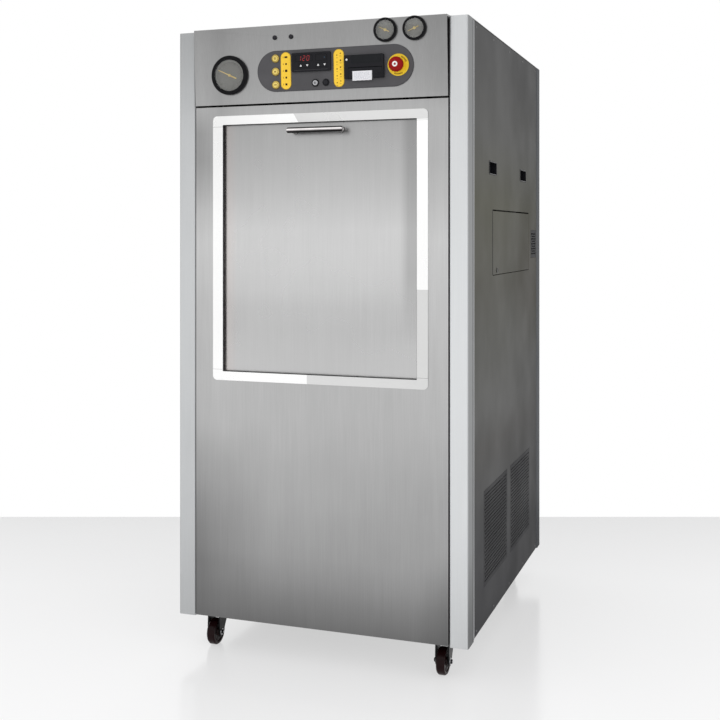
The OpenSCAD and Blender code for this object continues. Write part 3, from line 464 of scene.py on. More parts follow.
CAD_FINISHES = {
    "frame_dark": ("chassis", "door_rails"),
    "column_silver": ("corner_columns",),
    "stainless_side": ("side_panel_left", "side_panel_right", "rear_panel", "access_flap"),
    "stainless_front": ("top_panel", "front_panel", "control_fascia"),
    "trim_white": ("door_trim",),
    "panel_black": ("grip_cups", "switch_bezels", "display_rocker_left", "display_rocker_right",
                    "display_unit", "printer_body", "printer_door", "estop_plunger"),
    "key_chrome": ("key_barrel",),
    "lock_dark": ("flap_lock",),
    "plate_grey": ("control_plate",),
    "overlay_yellow": ("indicator_strips",),
    "button_yellow": ("start_button", "stop_button", "door_button"),
    "lamp_dark": ("reset_button", "indicator_lamps"),
    "estop_yellow": ("estop_base",),
    "estop_red": ("estop_head",),
    "gauge_black": ("gauge_cases",),
    "needle_yellow": ("jacket_needle", "chamber_needle", "steam_needle"),
    "clear_glass": ("gauge_glasses",),
    "castor_black": ("castor_plates", "castor_fork_fl", "castor_fork_fr", "castor_fork_rl", "castor_fork_rr"),
    "wheel_maroon": ("castor_wheel_fl", "castor_wheel_fr", "castor_wheel_rl", "castor_wheel_rr"),
    "door_steel": ("sliding_door",),
    "handle_steel": ("door_handle",),
    "motor_blue": ("gear_motor",),
    "shaft_steel": ("drive_shaft", "idler_shaft"),
    "chain_steel": ("door_chains",),
    "weight_iron": ("counterweights",),
    "vessel_steel": ("pressure_vessel", "chamber_shelf"),
    "gasket_red": ("door_gasket",),
    "insulation_foil": ("insulation_jacket",),
    "boiler_steel": ("steam_generator",),
    "box_grey": ("electrical_box",),
    "pipe_copper": ("pipework",),
    "paper_white": ("paper_strip",),
    "stainless_vent": ("vent_grilles",),
}
SOFT_EDGES = {
    0.5: ("front_panel", "control_fascia", "door_trim", "top_panel", "side_panel_left", "side_panel_right",
          "access_flap", "rear_panel", "display_unit", "printer_body", "control_plate", "chassis"),
    0.9: ("sliding_door", "grip_cups", "door_rails", "counterweights", "electrical_box"),
    0.25: ("printer_door", "indicator_strips", "display_rocker_left", "display_rocker_right"),
}


def dress_cad():
    """Gives every CAD node its finish, and a small radius to the sharp edges of the ones in sight."""
    for finish, names in CAD_FINISHES.items():
        for name in names:
            mesh = NODES[name].data
            mesh.materials.clear()
            mesh.materials.append(FINISHES[finish])
    for radius, names in SOFT_EDGES.items():
        for name in names:
            soften(NODES[name], radius * MM)


def soften(piece, radius, segments=2):
    """Round the sharp edges of a piece."""
    weld = piece.modifiers.new("weld", "WELD")
    weld.merge_threshold = 0.01 * MM
    bevel = piece.modifiers.new("edges", "BEVEL")
    bevel.width = radius
    bevel.segments = segments
    bevel.limit_method = "ANGLE"
    bevel.angle_limit = math.radians(35)
    shade = piece.modifiers.new("shade", "WEIGHTED_NORMAL")
    shade.keep_sharp = True


# ---- mesh helpers ----


def add_plate(mesh, outline, depth, at=None, chamfer=0.0):
    """Plate over an outline in local XY, from Z = 0 up to depth, with its upper rim chamfered."""
    at = at or Matrix.Identity(4)
    centre = sum((Vector((x, y, 0)) for x, y in outline), Vector()) / len(outline)
    reach = max((Vector((x, y, 0)) - centre).length for x, y in outline)
    shrink = 1 - chamfer / reach
    layers = [(0.0, 1.0), (depth - chamfer, 1.0), (depth, shrink)] if chamfer else [(0.0, 1.0), (depth, 1.0)]
    rings = []
    for z, scale in layers:
        ring = [centre + (Vector((x, y, 0)) - centre) * scale + Vector((0, 0, z)) for x, y in outline]
        rings.append([mesh.verts.new(at @ p) for p in ring])
    for low, high in zip(rings, rings[1:]):
        for i in range(len(outline)):
            j = (i + 1) % len(outline)
            mesh.faces.new((low[i], low[j], high[j], high[i]))
    mesh.faces.new(list(reversed(rings[0])))
    mesh.faces.new(rings[-1])


def add_turned(mesh, profile, at=None, segments=48):
    """Turned shape about local Z from (radius, height) points; a zero radius closes an end."""
    at = at or Matrix.Identity(4)
    rings = []
    for radius, height in profile:
        if radius < 1e-6:
            rings.append([mesh.verts.new(at @ Vector((0, 0, height)))])
            continue
        angles = [2 * math.pi * i / segments for i in range(segments)]
        rings.append([
            mesh.verts.new(at @ Vector((radius * math.cos(a), radius * math.sin(a), height))) for a in angles
        ])
    for low, high in zip(rings, rings[1:]):
        for i in range(segments):
            j = (i + 1) % segments
            corners = [low[i % len(low)], low[j % len(low)], high[j % len(high)], high[i % len(high)]]
            unique = list(dict.fromkeys(corners))
            if len(unique) > 2:
                mesh.faces.new(unique)


def add_ring(mesh, inner, outer, low, high, at=None, segments=48, chamfer=None):
    """Closed ring with chamfered upper rims."""
    c = (outer - inner) * 0.2 if chamfer is None else chamfer
    add_turned(mesh, [(inner, low), (outer, low), (outer, high - c), (outer - c, high), (inner + c, high),
                      (inner, high - c), (inner, low)], at, segments)


def circle(radius, count=24, x=0.0, y=0.0):
    """Outline of a circle."""
    return [(x + radius * math.cos(2 * math.pi * i / count), y + radius * math.sin(2 * math.pi * i / count))
            for i in range(count)]


def rectangle(w, h, x=0.0, y=0.0):
    """Outline of a rectangle about its centre."""
    return [(x - w / 2, y - h / 2), (x + w / 2, y - h / 2), (x + w / 2, y + h / 2), (x - w / 2, y + h / 2)]


def rounded(w, h, r, x=0.0, y=0.0, count=5):
    """Rectangle with round corners."""
    points = []
    for quarter, (sx, sy) in enumerate(((1, 1), (-1, 1), (-1, -1), (1, -1))):
        for i in range(count + 1):
            a = math.pi / 2 * (quarter + i / count)
            points.append((x + sx * (w / 2 - r) + r * math.cos(a), y + sy * (h / 2 - r) + r * math.sin(a)))
    return points


def piece(name, mesh, finish, body, slot, edge=0.0, smooth=True):
    """Turns a bmesh in the CAD frame into a piece that rides on a body."""
    bmesh.ops.remove_doubles(mesh, verts=mesh.verts, dist=0.001 * MM)
    bmesh.ops.recalc_face_normals(mesh, faces=mesh.faces)
    data = bpy.data.meshes.new(name)
    mesh.to_mesh(data)
    mesh.free()
    data.materials.append(FINISHES[finish])
    made = bpy.data.objects.new(name, data)
    bpy.context.scene.collection.objects.link(made)
    if smooth:
        data.shade_smooth()
        data.set_sharp_from_angle(angle=math.radians(38))
    if edge:
        bevel = made.modifiers.new("edges", "BEVEL")
        bevel.width = edge
        bevel.segments = 2
        bevel.angle_limit = math.radians(40)
        made.modifiers.new("shade", "WEIGHTED_NORMAL").keep_sharp = True
    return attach(made, body)


# ---- gauges ----

SWEEP_START = math.radians(225)
SWEEP = math.radians(270)


def gauge_dial(name, glass):
    """Dial face with a raised rim, graduations and a black seal ring at the glass."""
    across, up = on_fascia(glass)[:2]
    radius = (glass[1].x - glass[0].x) / 2
    face = bmesh.new()
    place = fascia_place(across, up)
    add_turned(face, [(1.7 * MM, 3.02 * MM), (radius * 0.94, 3.02 * MM), (radius * 0.955, 3.5 * MM),
                      (radius * 0.995, 3.9 * MM), (radius * 0.995, 3.02 * MM)], place, 72)
    piece(f"{name}_dial", face, "dial_grey", "cabinet", "plate_grey")
    marks = bmesh.new()
    steps = 50
    for i in range(steps + 1):
        long = i % 10 == 0
        half = i % 5 == 0
        length = radius * (0.15 if long else 0.11 if half else 0.065)
        width = radius * (0.026 if long else 0.014)
        angle = SWEEP_START - SWEEP * i / steps
        spot = place @ Matrix.Rotation(angle, 4, "Z")
        spot = spot @ Matrix.Translation((radius * 0.86 - length / 2, 0, 3.03 * MM))
        add_plate(marks, rectangle(length, width), 0.22 * MM, spot)
    piece(f"{name}_graduations", marks, "dial_marks", "cabinet", "gauge_black")
    rim = bmesh.new()
    add_ring(rim, radius * 1.005, radius * 1.045, 8.2 * MM, 9.2 * MM, place, 72)
    piece(f"{name}_glass_seal", rim, "seal_black", "cabinet", "gauge_black")


def add_arc(mesh, inner, outer, start, end, low, depth, at, count=20):
    """Curved strip in local XY between two angles."""
    angles = [start + (end - start) * i / count for i in range(count + 1)]
    outline = [(outer * math.cos(a), outer * math.sin(a)) for a in angles]
    outline += [(inner * math.cos(a), inner * math.sin(a)) for a in reversed(angles)]
    add_plate(mesh, outline, depth, at @ Matrix.Translation((0, 0, low)))


def needle_hub(body, glass, size):
    """Domed cap over the spindle's tip, turning with the needle."""
    across, up = on_fascia(glass)[:2]
    hub = bmesh.new()
    place = fascia_place(across, up)
    add_turned(hub, [(size, 5.42 * MM), (size, 6.2 * MM), (size * 0.8, 6.7 * MM), (size * 0.35, 6.95 * MM),
                     (0.0, 7.0 * MM)], place, 32)
    add_turned(hub, [(0.0, 5.42 * MM), (size, 5.42 * MM)], place, 32)
    piece(f"{body}_cap", hub, "needle_yellow", body, "needle_yellow")


def gauges():
    """Dials and pointer caps of the three gauges."""
    glasses = solids("gauge_glasses")
    for name, glass in zip(("jacket_gauge", "chamber_gauge", "steam_gauge"), glasses):
        gauge_dial(name, glass)
    for body, glass, size in zip(("jacket_needle", "chamber_needle", "steam_needle"), glasses,
                                 (3.4 * MM, 2.4 * MM, 2.4 * MM)):
        needle_hub(body, glass, size)


# ---- control plate ----

PLATE_OUT = 3 * MM


def push_buttons():
    """Golden rims round the three buttons, and a small generic symbol on each."""
    for body, kind in (("start_button", "ring"), ("stop_button", "dot"), ("door_button", "bar")):
        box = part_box(body)
        across, up = on_fascia(box)[:2]
        radius = (box[1].x - box[0].x) / 2
        place = fascia_place(across, up)
        rim = bmesh.new()
        add_ring(rim, radius + 0.4 * MM, radius + 1.5 * MM, PLATE_OUT, PLATE_OUT + 2.6 * MM, place, 48)
        piece(f"{body}_rim", rim, "button_rim", "cabinet", "button_yellow")
        inner = bmesh.new()
        add_ring(inner, radius - 2.3 * MM, radius - 1.25 * MM, 8.15 * MM, 8.75 * MM, place, 48)
        piece(f"{body}_face_ring", inner, "button_rim", body, "button_yellow")
        face = 8.56 * MM
        mark = bmesh.new()
        if kind == "ring":
            add_ring(mark, 2.3 * MM, 3.2 * MM, face - 0.3 * MM, face + 0.25 * MM, place, 32)
            add_turned(mark, [(0.0, face - 0.3 * MM), (0.9 * MM, face - 0.3 * MM),
                              (0.9 * MM, face + 0.25 * MM),
                              (0.0, face + 0.25 * MM)], place, 16)
        elif kind == "dot":
            add_ring(mark, 2.0 * MM, 2.7 * MM, face - 0.3 * MM, face + 0.25 * MM, place, 32)
            add_turned(mark, [(0.0, face - 0.3 * MM), (1.3 * MM, face - 0.3 * MM),
                              (1.3 * MM, face + 0.25 * MM),
                              (0.0, face + 0.25 * MM)], place, 16)
        else:
            bar = place @ Matrix.Translation((0, 0, face - 0.3 * MM))
            add_plate(mark, rounded(8 * MM, 2.0 * MM, 0.9 * MM), 0.5 * MM, bar)
        piece(f"{body}_symbol", mark, "mark_brown", body, "lamp_dark")


def strip_symbols():
    """Small square symbols down the first strip, and two staggered columns of dots down the second."""
    first, second = solids("indicator_strips")
    draw = random.Random(4)
    edges = bmesh.new()
    for box in (first, second):
        across, up, out = on_fascia(box)
        w, h = box[1].x - box[0].x - 0.2 * MM, box[1].z - box[0].z - 0.4 * MM
        add_frame(edges, rounded(w, h, w / 2 - 0.01 * MM, count=10),
                  rounded(w - 2.2 * MM, h - 2.2 * MM, w / 2 - 1.12 * MM, count=10), 0.7 * MM,
                  fascia_place(across, up, out))
    piece("strip_edges", edges, "button_rim", "cabinet", "overlay_yellow")
    across, up, out = on_fascia(first)
    squares = bmesh.new()
    pitch = 19 * MM
    sizes = [(9, 5), (5, 5), (7, 7), (5, 5.5), (6, 6)]
    for i, (w, h) in enumerate(sizes):
        spot = fascia_place(across + 1 * MM, up + (2 - i) * pitch, out)
        add_plate(squares, rounded(w * MM, h * MM, 0.8 * MM), 0.75 * MM, spot, 0.1 * MM)
    piece("strip_left_symbols", squares, "mark_dark", "cabinet", "lamp_dark")
    frame_marks = bmesh.new()
    for i in range(len(sizes)):
        spot = fascia_place(across - 7.5 * MM, up + (2 - i) * pitch, out)
        add_plate(frame_marks, rounded(1.6 * MM, 5 * MM, 0.6 * MM), 0.72 * MM, spot)
    piece("strip_left_ticks", frame_marks, "button_rim", "cabinet", "overlay_yellow")
    across, up, out = on_fascia(second)
    dots = bmesh.new()
    for column in (-1, 1):
        for i in range(5):
            spot = fascia_place(across + column * 5.2 * MM, up + (2 - i) * pitch + column * 2.2 * MM, out)
            size = draw.uniform(1.5, 2.3) * MM
            add_plate(dots, circle(size, 16), 0.75 * MM, spot, 0.1 * MM)
    piece("strip_right_lamps", dots, "mark_brown", "cabinet", "lamp_dark")
    bars = bmesh.new()
    for column in (-1, 1):
        for i in range(5):
            spot = fascia_place(across + column * 5.2 * MM,
                                up + (2 - i) * pitch + column * 2.2 * MM - 7.5 * MM, out)
            add_plate(bars, rounded(draw.uniform(3.5, 6.0) * MM, 1.3 * MM, 0.5 * MM), 0.72 * MM, spot)
    piece("strip_right_bars", bars, "button_rim", "cabinet", "overlay_yellow")


SEGMENTS = {
    "a": ((-1, 2), (1, 2)), "b": ((1, 2), (1, 0)), "c": ((1, 0), (1, -2)), "d": ((-1, -2), (1, -2)),
    "e": ((-1, 0), (-1, -2)), "f": ((-1, 2), (-1, 0)), "g": ((-1, 0), (1, 0)),
}


def add_digit(mesh, place, lit, size):
    """Seven-segment figure, each bar with pointed ends, leaning slightly to the right."""
    lean = math.tan(math.radians(8))
    half = size * 0.11
    for name in lit:
        (x0, y0), (x1, y1) = SEGMENTS[name]
        start = Vector((x0 * size * 0.5, y0 * size * 0.5))
        end = Vector((x1 * size * 0.5, y1 * size * 0.5))
        along = (end - start).normalized()
        side = Vector((-along.y, along.x))
        start, end = start + along * half * 0.5, end - along * half * 0.5
        points = [start, start + (along - side) * half, end - (along + side) * half, end,
                  end + (side - along) * half, start + (along + side) * half]
        add_plate(mesh, [(p.x + p.y * lean, p.y) for p in points], 0.3 * MM, place)


DISPLAY_FLOOR = 8.02 * MM


def display():
    """Recessed window with dim red figures, and white arrows on the two rocker keys."""
    across = on_fascia(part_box("display_unit")).x
    window_up = up_of("display_rocker_left") + 20.5 * MM
    digits = bmesh.new()
    for i, lit in enumerate(("bc", "abged", "abcdef")):
        spot = fascia_place(across - 34 * MM + i * 12.5 * MM, window_up, DISPLAY_FLOOR)
        add_digit(digits, spot, lit, 6.6 * MM)
    piece("display_figures", digits, "digit_red", "cabinet", "estop_red")
    windows = bmesh.new()
    for x, w in ((across - 21 * MM, 50 * MM), (across + 30 * MM, 34 * MM)):
        spot = fascia_place(x, window_up, DISPLAY_FLOOR)
        outer, inner = rounded(w, 17.5 * MM, 1.2 * MM), rounded(w - 1.6 * MM, 15.9 * MM, 0.8 * MM)
        add_frame(windows, outer, inner, 0.7 * MM, spot)
    piece("display_window_frames", windows, "panel_gloss", "cabinet", "panel_black")
    edge = bmesh.new()
    spot = fascia_place(across, up_of("display_rocker_left") - 12.5 * MM, 8.95 * MM)
    add_plate(edge, rounded(100 * MM, 0.9 * MM, 0.4 * MM), 0.35 * MM, spot)
    piece("display_trim_line", edge, "edge_grey", "cabinet", "panel_black")
    lamp = bmesh.new()
    add_plate(lamp, circle(1.3 * MM, 16), 0.5 * MM,
              fascia_place(across + 40 * MM, window_up, DISPLAY_FLOOR), 0.2 * MM)
    piece("display_lamp", lamp, "motor_blue", "cabinet", "clear_glass")
    for body, node in (("rocker_left", "display_rocker_left"), ("rocker_right", "display_rocker_right")):
        arrows = bmesh.new()
        centre = on_fascia(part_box(node))
        for side, turn in ((-1, 0), (1, math.pi)):
            spot = fascia_place(centre.x + side * 9.6 * MM, up_of(node), 9.38 * MM)
            spot = spot @ Matrix.Rotation(turn, 4, "Z")
            add_plate(arrows, [(-3.3 * MM, -2.5 * MM), (3.3 * MM, -2.5 * MM), (0, 3.3 * MM)], 0.3 * MM, spot)
        piece(f"{node}_arrows", arrows, "mark_white", body, "paper_white")


def up_of(node):
    """How far up the slope of the fascia a node's centre is."""
    return on_fascia(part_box(node)).y


def add_frame(mesh, outer, inner, depth, at):
    """Flat frame between two outlines with the same number of points."""
    layers = []
    for z in (0.0, depth):
        layers.append([[mesh.verts.new(at @ Vector((x, y, z))) for x, y in line] for line in (outer, inner)])
    count = len(outer)
    for i in range(count):
        j = (i + 1) % count
        (low_out, low_in), (high_out, high_in) = layers
        mesh.faces.new((high_out[i], high_out[j], high_in[j], high_in[i]))
        mesh.faces.new((low_out[i], low_in[i], low_in[j], low_out[j]))
        mesh.faces.new((low_out[i], low_out[j], high_out[j], high_out[i]))
        mesh.faces.new((low_in[i], high_in[i], high_in[j], low_in[j]))


def key_switch():
    """Black collar round the barrel, and a black ring on its face for the key way."""
    across, up = on_fascia(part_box("key_barrel"))[:2]
    place = fascia_place(across, up)
    collar = bmesh.new()
    add_ring(collar, 7.6 * MM, 9.3 * MM, 6.1 * MM, 6.9 * MM, place, 48)
    piece("key_collar", collar, "panel_black", "cabinet", "panel_black")
    way = bmesh.new()
    add_ring(way, 2.4 * MM, 3.4 * MM, 6.9 * MM, 7.25 * MM, place, 32)
    piece("key_way_ring", way, "panel_black", "key_barrel", "panel_black")


def printer():
    """Window lens, seams and grip ribs of the printer, and a curled paper tongue with faint print."""
    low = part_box("printer_body")[0]
    across, up = on_fascia(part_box("printer_door"))[:2]
    left = low.x
    lens = bmesh.new()
    lens_up = up + 37 * MM
    place = fascia_place(left + 7.5 * MM, lens_up)
    add_turned(lens, [(3.1 * MM, 10.05 * MM), (3.1 * MM, 11.1 * MM), (2.4 * MM, 12.0 * MM),
                      (1.2 * MM, 12.5 * MM),
                      (0.0, 12.6 * MM)], place, 24)
    add_turned(lens, [(0.0, 10.05 * MM), (3.1 * MM, 10.05 * MM)], place, 24)
    piece("printer_lamp", lens, "mark_white", "cabinet", "paper_white")
    collar = bmesh.new()
    add_ring(collar, 3.5 * MM, 5.2 * MM, 10.9 * MM, 11.7 * MM, place, 32)
    piece("printer_lamp_collar", collar, "panel_gloss", "cabinet", "panel_black")
    cover = bmesh.new()
    cover_place = fascia_place(across, lens_up - 1.5 * MM, 10.95 * MM)
    add_plate(cover, rounded(86 * MM, 21 * MM, 1.5 * MM, 3 * MM, 1.5 * MM), 0.6 * MM, cover_place, 0.2 * MM)
    piece("printer_cover_panel", cover, "panel_gloss", "cabinet", "panel_black")
    ribs = bmesh.new()
    for i in range(4):
        spot = fascia_place(across + 38 * MM, up - 9 * MM + i * 2.6 * MM, 10.95 * MM)
        add_plate(ribs, rounded(13 * MM, 1.1 * MM, 0.5 * MM), 0.55 * MM, spot)
    piece("printer_door_ribs", ribs, "panel_black", "printer_door", "panel_black")
    paper_tongue()


def paper_tongue():
    """Paper that comes out of the slot, hangs down and curls away from the door."""
    low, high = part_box("paper_strip")
    box_centre = on_fascia((low, high))
    width = high.x - low.x
    top_up = box_centre.y + (high.z - low.z) / 2 - 0.4 * MM
    drop = high.z - low.z - 0.6 * MM
    sheet = bmesh.new()
    rows, columns = 18, 12
    grid = []
    for i in range(rows + 1):
        t = i / rows
        line = []
        for k in range(columns + 1):
            s = k / columns - 0.5
            sag = 0.35 * MM * math.sin(math.pi * t)
            out = 11.35 * MM + 1.15 * MM * t - sag - 0.25 * MM * (2 * s) ** 2 * t
            ragged = 0.35 * MM * math.sin(k * 2.4) if i == rows else 0.0
            point = fascia_place(box_centre.x + s * width * (1 - 0.01 * t), top_up - drop * t + ragged, out)
            line.append(sheet.verts.new(point.translation))
        grid.append(line)
    for i in range(rows):
        for k in range(columns):
            sheet.faces.new((grid[i][k], grid[i][k + 1], grid[i + 1][k + 1], grid[i + 1][k]))
    made = piece("printer_paper", sheet, "paper_white", "printer_door", "paper_white")
    made.modifiers.new("thickness", "SOLIDIFY").thickness = 0.12 * MM
    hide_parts("paper_strip")
    draw = random.Random(9)
    rows_printed = bmesh.new()
    for i in range(6):
        t = 0.18 + i * 0.13
        out = 11.35 * MM + 1.15 * MM * t - 0.35 * MM * math.sin(math.pi * t) + 0.02 * MM
        x = box_centre.x - width * 0.40
        while x < box_centre.x + width * 0.32:
            w = draw.uniform(1.5, 6.0) * MM
            spot = fascia_place(x + w / 2, top_up - drop * t, out)
            add_plate(rows_printed, rectangle(w, 0.8 * MM), 0.06 * MM, spot)
            x += w + draw.uniform(1.0, 3.5) * MM
    piece("printer_print", rows_printed, "print_grey", "printer_door", "paper_white")


def emergency_stop():
    """White target ring, turning arrows on the red head and generic marks round the yellow disc."""
    across = on_fascia(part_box("estop_head")).x
    place = fascia_place(across, up_of("estop_base"))
    ring = bmesh.new()
    add_ring(ring, 3.0 * MM, 7.6 * MM, 35.6 * MM, 36.1 * MM, place, 40, 0.3 * MM)
    piece("estop_target_ring", ring, "mark_white", "estop_head", "paper_white")
    arrows = bmesh.new()
    for i in range(3):
        turn = math.radians(120 * i + 20)
        add_arc(arrows, 9.6 * MM, 11.4 * MM, turn, turn + math.radians(62), 35.75 * MM, 0.4 * MM, place, 10)
        tip = turn + math.radians(62)
        spot = place @ Matrix.Rotation(tip, 4, "Z") @ Matrix.Translation((10.5 * MM, 0, 35.75 * MM))
        add_plate(arrows, [(-2.2 * MM, 0), (2.2 * MM, 0), (0, 3.4 * MM)], 0.4 * MM, spot)
    piece("estop_arrows", arrows, "estop_red", "estop_head", "estop_red")
    grips = bmesh.new()
    for i in range(18):
        turn = place @ Matrix.Rotation(math.radians(20 * i), 4, "Z")
        spot = turn @ Matrix.Translation((19.9 * MM, 0, 21.6 * MM)) @ Matrix.Rotation(math.pi / 2, 4, "Y")
        add_plate(grips, rounded(5.8 * MM, 2.0 * MM, 0.9 * MM, -3.0 * MM), 0.9 * MM, spot, 0.3 * MM)
    piece("estop_grip_ribs", grips, "estop_red", "estop_head", "estop_red")
    marks = bmesh.new()
    for start, count in ((math.radians(20), 6), (math.radians(245), 7)):
        for i in range(count):
            angle = start + math.radians(8.2) * i
            add_arc(marks, 22.5 * MM, 26.3 * MM, angle, angle + math.radians(4.6), 5.9 * MM, 0.35 * MM,
                    place, 3)
    piece("estop_disc_marks", marks, "mark_brown", "cabinet", "lamp_dark")
    bezel = bmesh.new()
    add_ring(bezel, 16.9 * MM, 19.5 * MM, 5.9 * MM, 8.4 * MM, place, 48)
    piece("estop_collar", bezel, "estop_yellow", "cabinet", "estop_yellow")


def plate_edge():
    """Thin dark grey rim round the control plate, where its overlay ends."""
    low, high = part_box("control_plate")
    across, up = on_fascia((low, high))[:2]
    w, h = high.x - low.x, 115 * MM
    rim = bmesh.new()
    place = fascia_place(across, up, 2.95 * MM)
    outer = rounded(w - 0.8 * MM, h - 0.8 * MM, h / 2 - 0.5 * MM, count=24)
    inner = rounded(w - 2.6 * MM, h - 2.6 * MM, h / 2 - 1.4 * MM, count=24)
    add_frame(rim, outer, inner, 0.25 * MM, place)
    piece("control_plate_rim", rim, "edge_grey", "cabinet", "plate_grey")


def lamps():
    """Black ring round each of the two small lamps."""
    for i, box in enumerate(solids("indicator_lamps")):
        across, up = on_fascia(box)[:2]
        place = fascia_place(across, up)
        ring = bmesh.new()
        add_ring(ring, 4.6 * MM, 6.4 * MM, 2.4 * MM, 3.2 * MM, place, 32)
        piece(f"lamp_ring_{i + 1}", ring, "gauge_black", "cabinet", "lamp_dark")


# ---- door, trim and handle ----


def door_recess_shade():
    """Dark strip lining the trim's opening, with a lip towards the door: painted shade for the shadow line in
    the door's recess.
    """
    low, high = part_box("door_trim")
    face = 31 * MM
    w, h = high.x - low.x - 2 * face, high.z - low.z - 51 * MM
    place = Matrix.Translation((0, 0, middle((low, high)).z)) @ Matrix.Rotation(math.pi / 2, 4, "X")
    seal = bmesh.new()
    outer = rounded(w + 0.1 * MM, h + 0.1 * MM, 2 * MM)
    inner = rounded(w - 2.2 * MM, h - 2.2 * MM, 1.2 * MM)
    depth = high.y - low.y - 2 * MM
    add_frame(seal, outer, inner, depth, place @ Matrix.Translation((0, 0, -high.y)))
    # Painted shade strip lining the recess.
    piece("door_recess_shade_strip", seal, "seal_black", "cabinet", "gasket_red", 0.4 * MM)


def handle_details():
    """Collars where the handle's posts meet the door."""
    low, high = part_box("door_handle")
    centre = middle((low, high))
    door_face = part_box("sliding_door")[0].y
    post = (high.x - low.x) / 2 - 14 * MM
    collars = bmesh.new()
    for side in (-1, 1):
        place = Matrix.Translation((side * post, door_face, centre.z)) @ Matrix.Rotation(math.pi / 2, 4, "X")
        add_turned(collars, [(9.8 * MM, 0.02 * MM), (9.8 * MM, 0.7 * MM), (9.4 * MM, 1.1 * MM),
                             (8.1 * MM, 1.2 * MM), (8.1 * MM, 0.02 * MM)], place, 40)
    piece("handle_collars", collars, "seal_black", "door", "handle_steel")


# ---- sides, rear and top ----


def perforated(name, box, columns, rows, slot_w, slot_h, side):
    """Sheet with staggered rows of round-ended holes, and its folded rim, in place of a plain grille."""
    low, high = box
    w, h = high.y - low.y, high.z - low.z
    face_x = high.x if side > 0 else low.x
    sheet = bmesh.new()
    turn = Matrix.Rotation(math.pi / 2, 4, "X")
    place = Matrix.Translation((face_x, (low.y + high.y) / 2, (low.z + high.z) / 2))
    place = place @ Matrix.Rotation(math.pi / 2 * side, 4, "Z") @ turn
    rim = 9 * MM
    cell_w, cell_h = (w - 2 * rim) / columns, (h - 2 * rim) / rows
    front, back = -0.1 * MM, -1.4 * MM
    for row in range(rows):
        shift = 0.5 if row % 2 else 0.0
        y0 = -h / 2 + rim + row * cell_h
        for column in range(-1, columns + 1):
            x0 = -w / 2 + rim + (column + shift) * cell_w
            x1 = x0 + cell_w
            x0, x1 = max(x0, -w / 2 + rim), min(x1, w / 2 - rim)
            if x1 - x0 < cell_w * 0.1:
                continue
            add_cell(sheet, place, x0, x1, y0, y0 + cell_h, slot_w if x1 - x0 > cell_w * 0.9 else 0, slot_h,
                     front, back)
    outer = [(-w / 2, -h / 2), (w / 2, -h / 2), (w / 2, h / 2), (-w / 2, h / 2)]
    inner = [(x * (w - 2 * rim) / w, y * (h - 2 * rim) / h) for x, y in outer]
    add_frame(sheet, outer, inner, 1.6 * MM, place @ Matrix.Translation((0, 0, -1.6 * MM)))
    return piece(name, sheet, "stainless_vent", "cabinet", "stainless_side", smooth=False)


def add_cell(mesh, place, x0, x1, y0, y1, slot_w, slot_h, front, back):
    """One cell of perforated sheet: a rectangle with an eight-sided hole, or a blank one."""
    corners = [(x0, y0), (x1, y0), (x1, y1), (x0, y1)]
    if not slot_w:
        for z in (front, back):
            mesh.faces.new([mesh.verts.new(place @ Vector((x, y, z))) for x, y in corners])
        return
    cx, cy = (x0 + x1) / 2, (y0 + y1) / 2
    hw, hh = slot_w / 2, slot_h / 2
    hole = [(cx - hw * 0.5, cy - hh), (cx + hw * 0.5, cy - hh), (cx + hw, cy - hh * 0.4),
            (cx + hw, cy + hh * 0.4),
            (cx + hw * 0.5, cy + hh), (cx - hw * 0.5, cy + hh), (cx - hw, cy + hh * 0.4),
            (cx - hw, cy - hh * 0.4)]
    sides = ((0, (0, 1)), (1, (2, 3)), (2, (4, 5)), (3, (6, 7)))
    rings = []
    for z in (front, back):
        outer = [mesh.verts.new(place @ Vector((x, y, z))) for x, y in corners]
        inner = [mesh.verts.new(place @ Vector((x, y, z))) for x, y in hole]
        for corner, (a, b) in sides:
            following = (corner + 1) % 4
            mesh.faces.new((outer[corner], outer[following], inner[b], inner[a]))
            mesh.faces.new((outer[following], inner[(b + 1) % 8], inner[b]))
        rings.append(inner)
    for i in range(8):
        j = (i + 1) % 8
        mesh.faces.new((rings[0][i], rings[0][j], rings[1][j], rings[1][i]))


def vents():
    """Four perforated panels low on the sides and a small one high on the right."""
    for i, box in enumerate(solids("vent_grilles")):
        side = 1 if middle(box).x > 0 else -1
        small = box[1].z - box[0].z < 0.2
        if small:
            perforated(f"side_vent_{i + 1}", box, 4, 9, 16 * MM, 5.2 * MM, side)
        else:
            perforated(f"side_vent_{i + 1}", box, 20, 25, 9.0 * MM, 5.6 * MM, side)
    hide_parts("vent_grilles")


def add_screw(mesh, place, radius=3.2 * MM):
    """Low domed screw head with a hexagon recess."""
    profile = [(radius, 0.0), (radius, 0.5 * MM), (radius * 0.8, 1.0 * MM), (radius * 0.5, 1.2 * MM),
               (radius * 0.42, 0.45 * MM), (0.0, 0.4 * MM)]
    add_turned(mesh, profile, place, 12)
    add_turned(mesh, [(0.0, 0.0), (radius, 0.0)], place, 12)


def facing(normal):
    """Rotation that turns local Z to the given direction."""
    return Vector(normal).to_track_quat("Z", "Y").to_matrix().to_4x4()


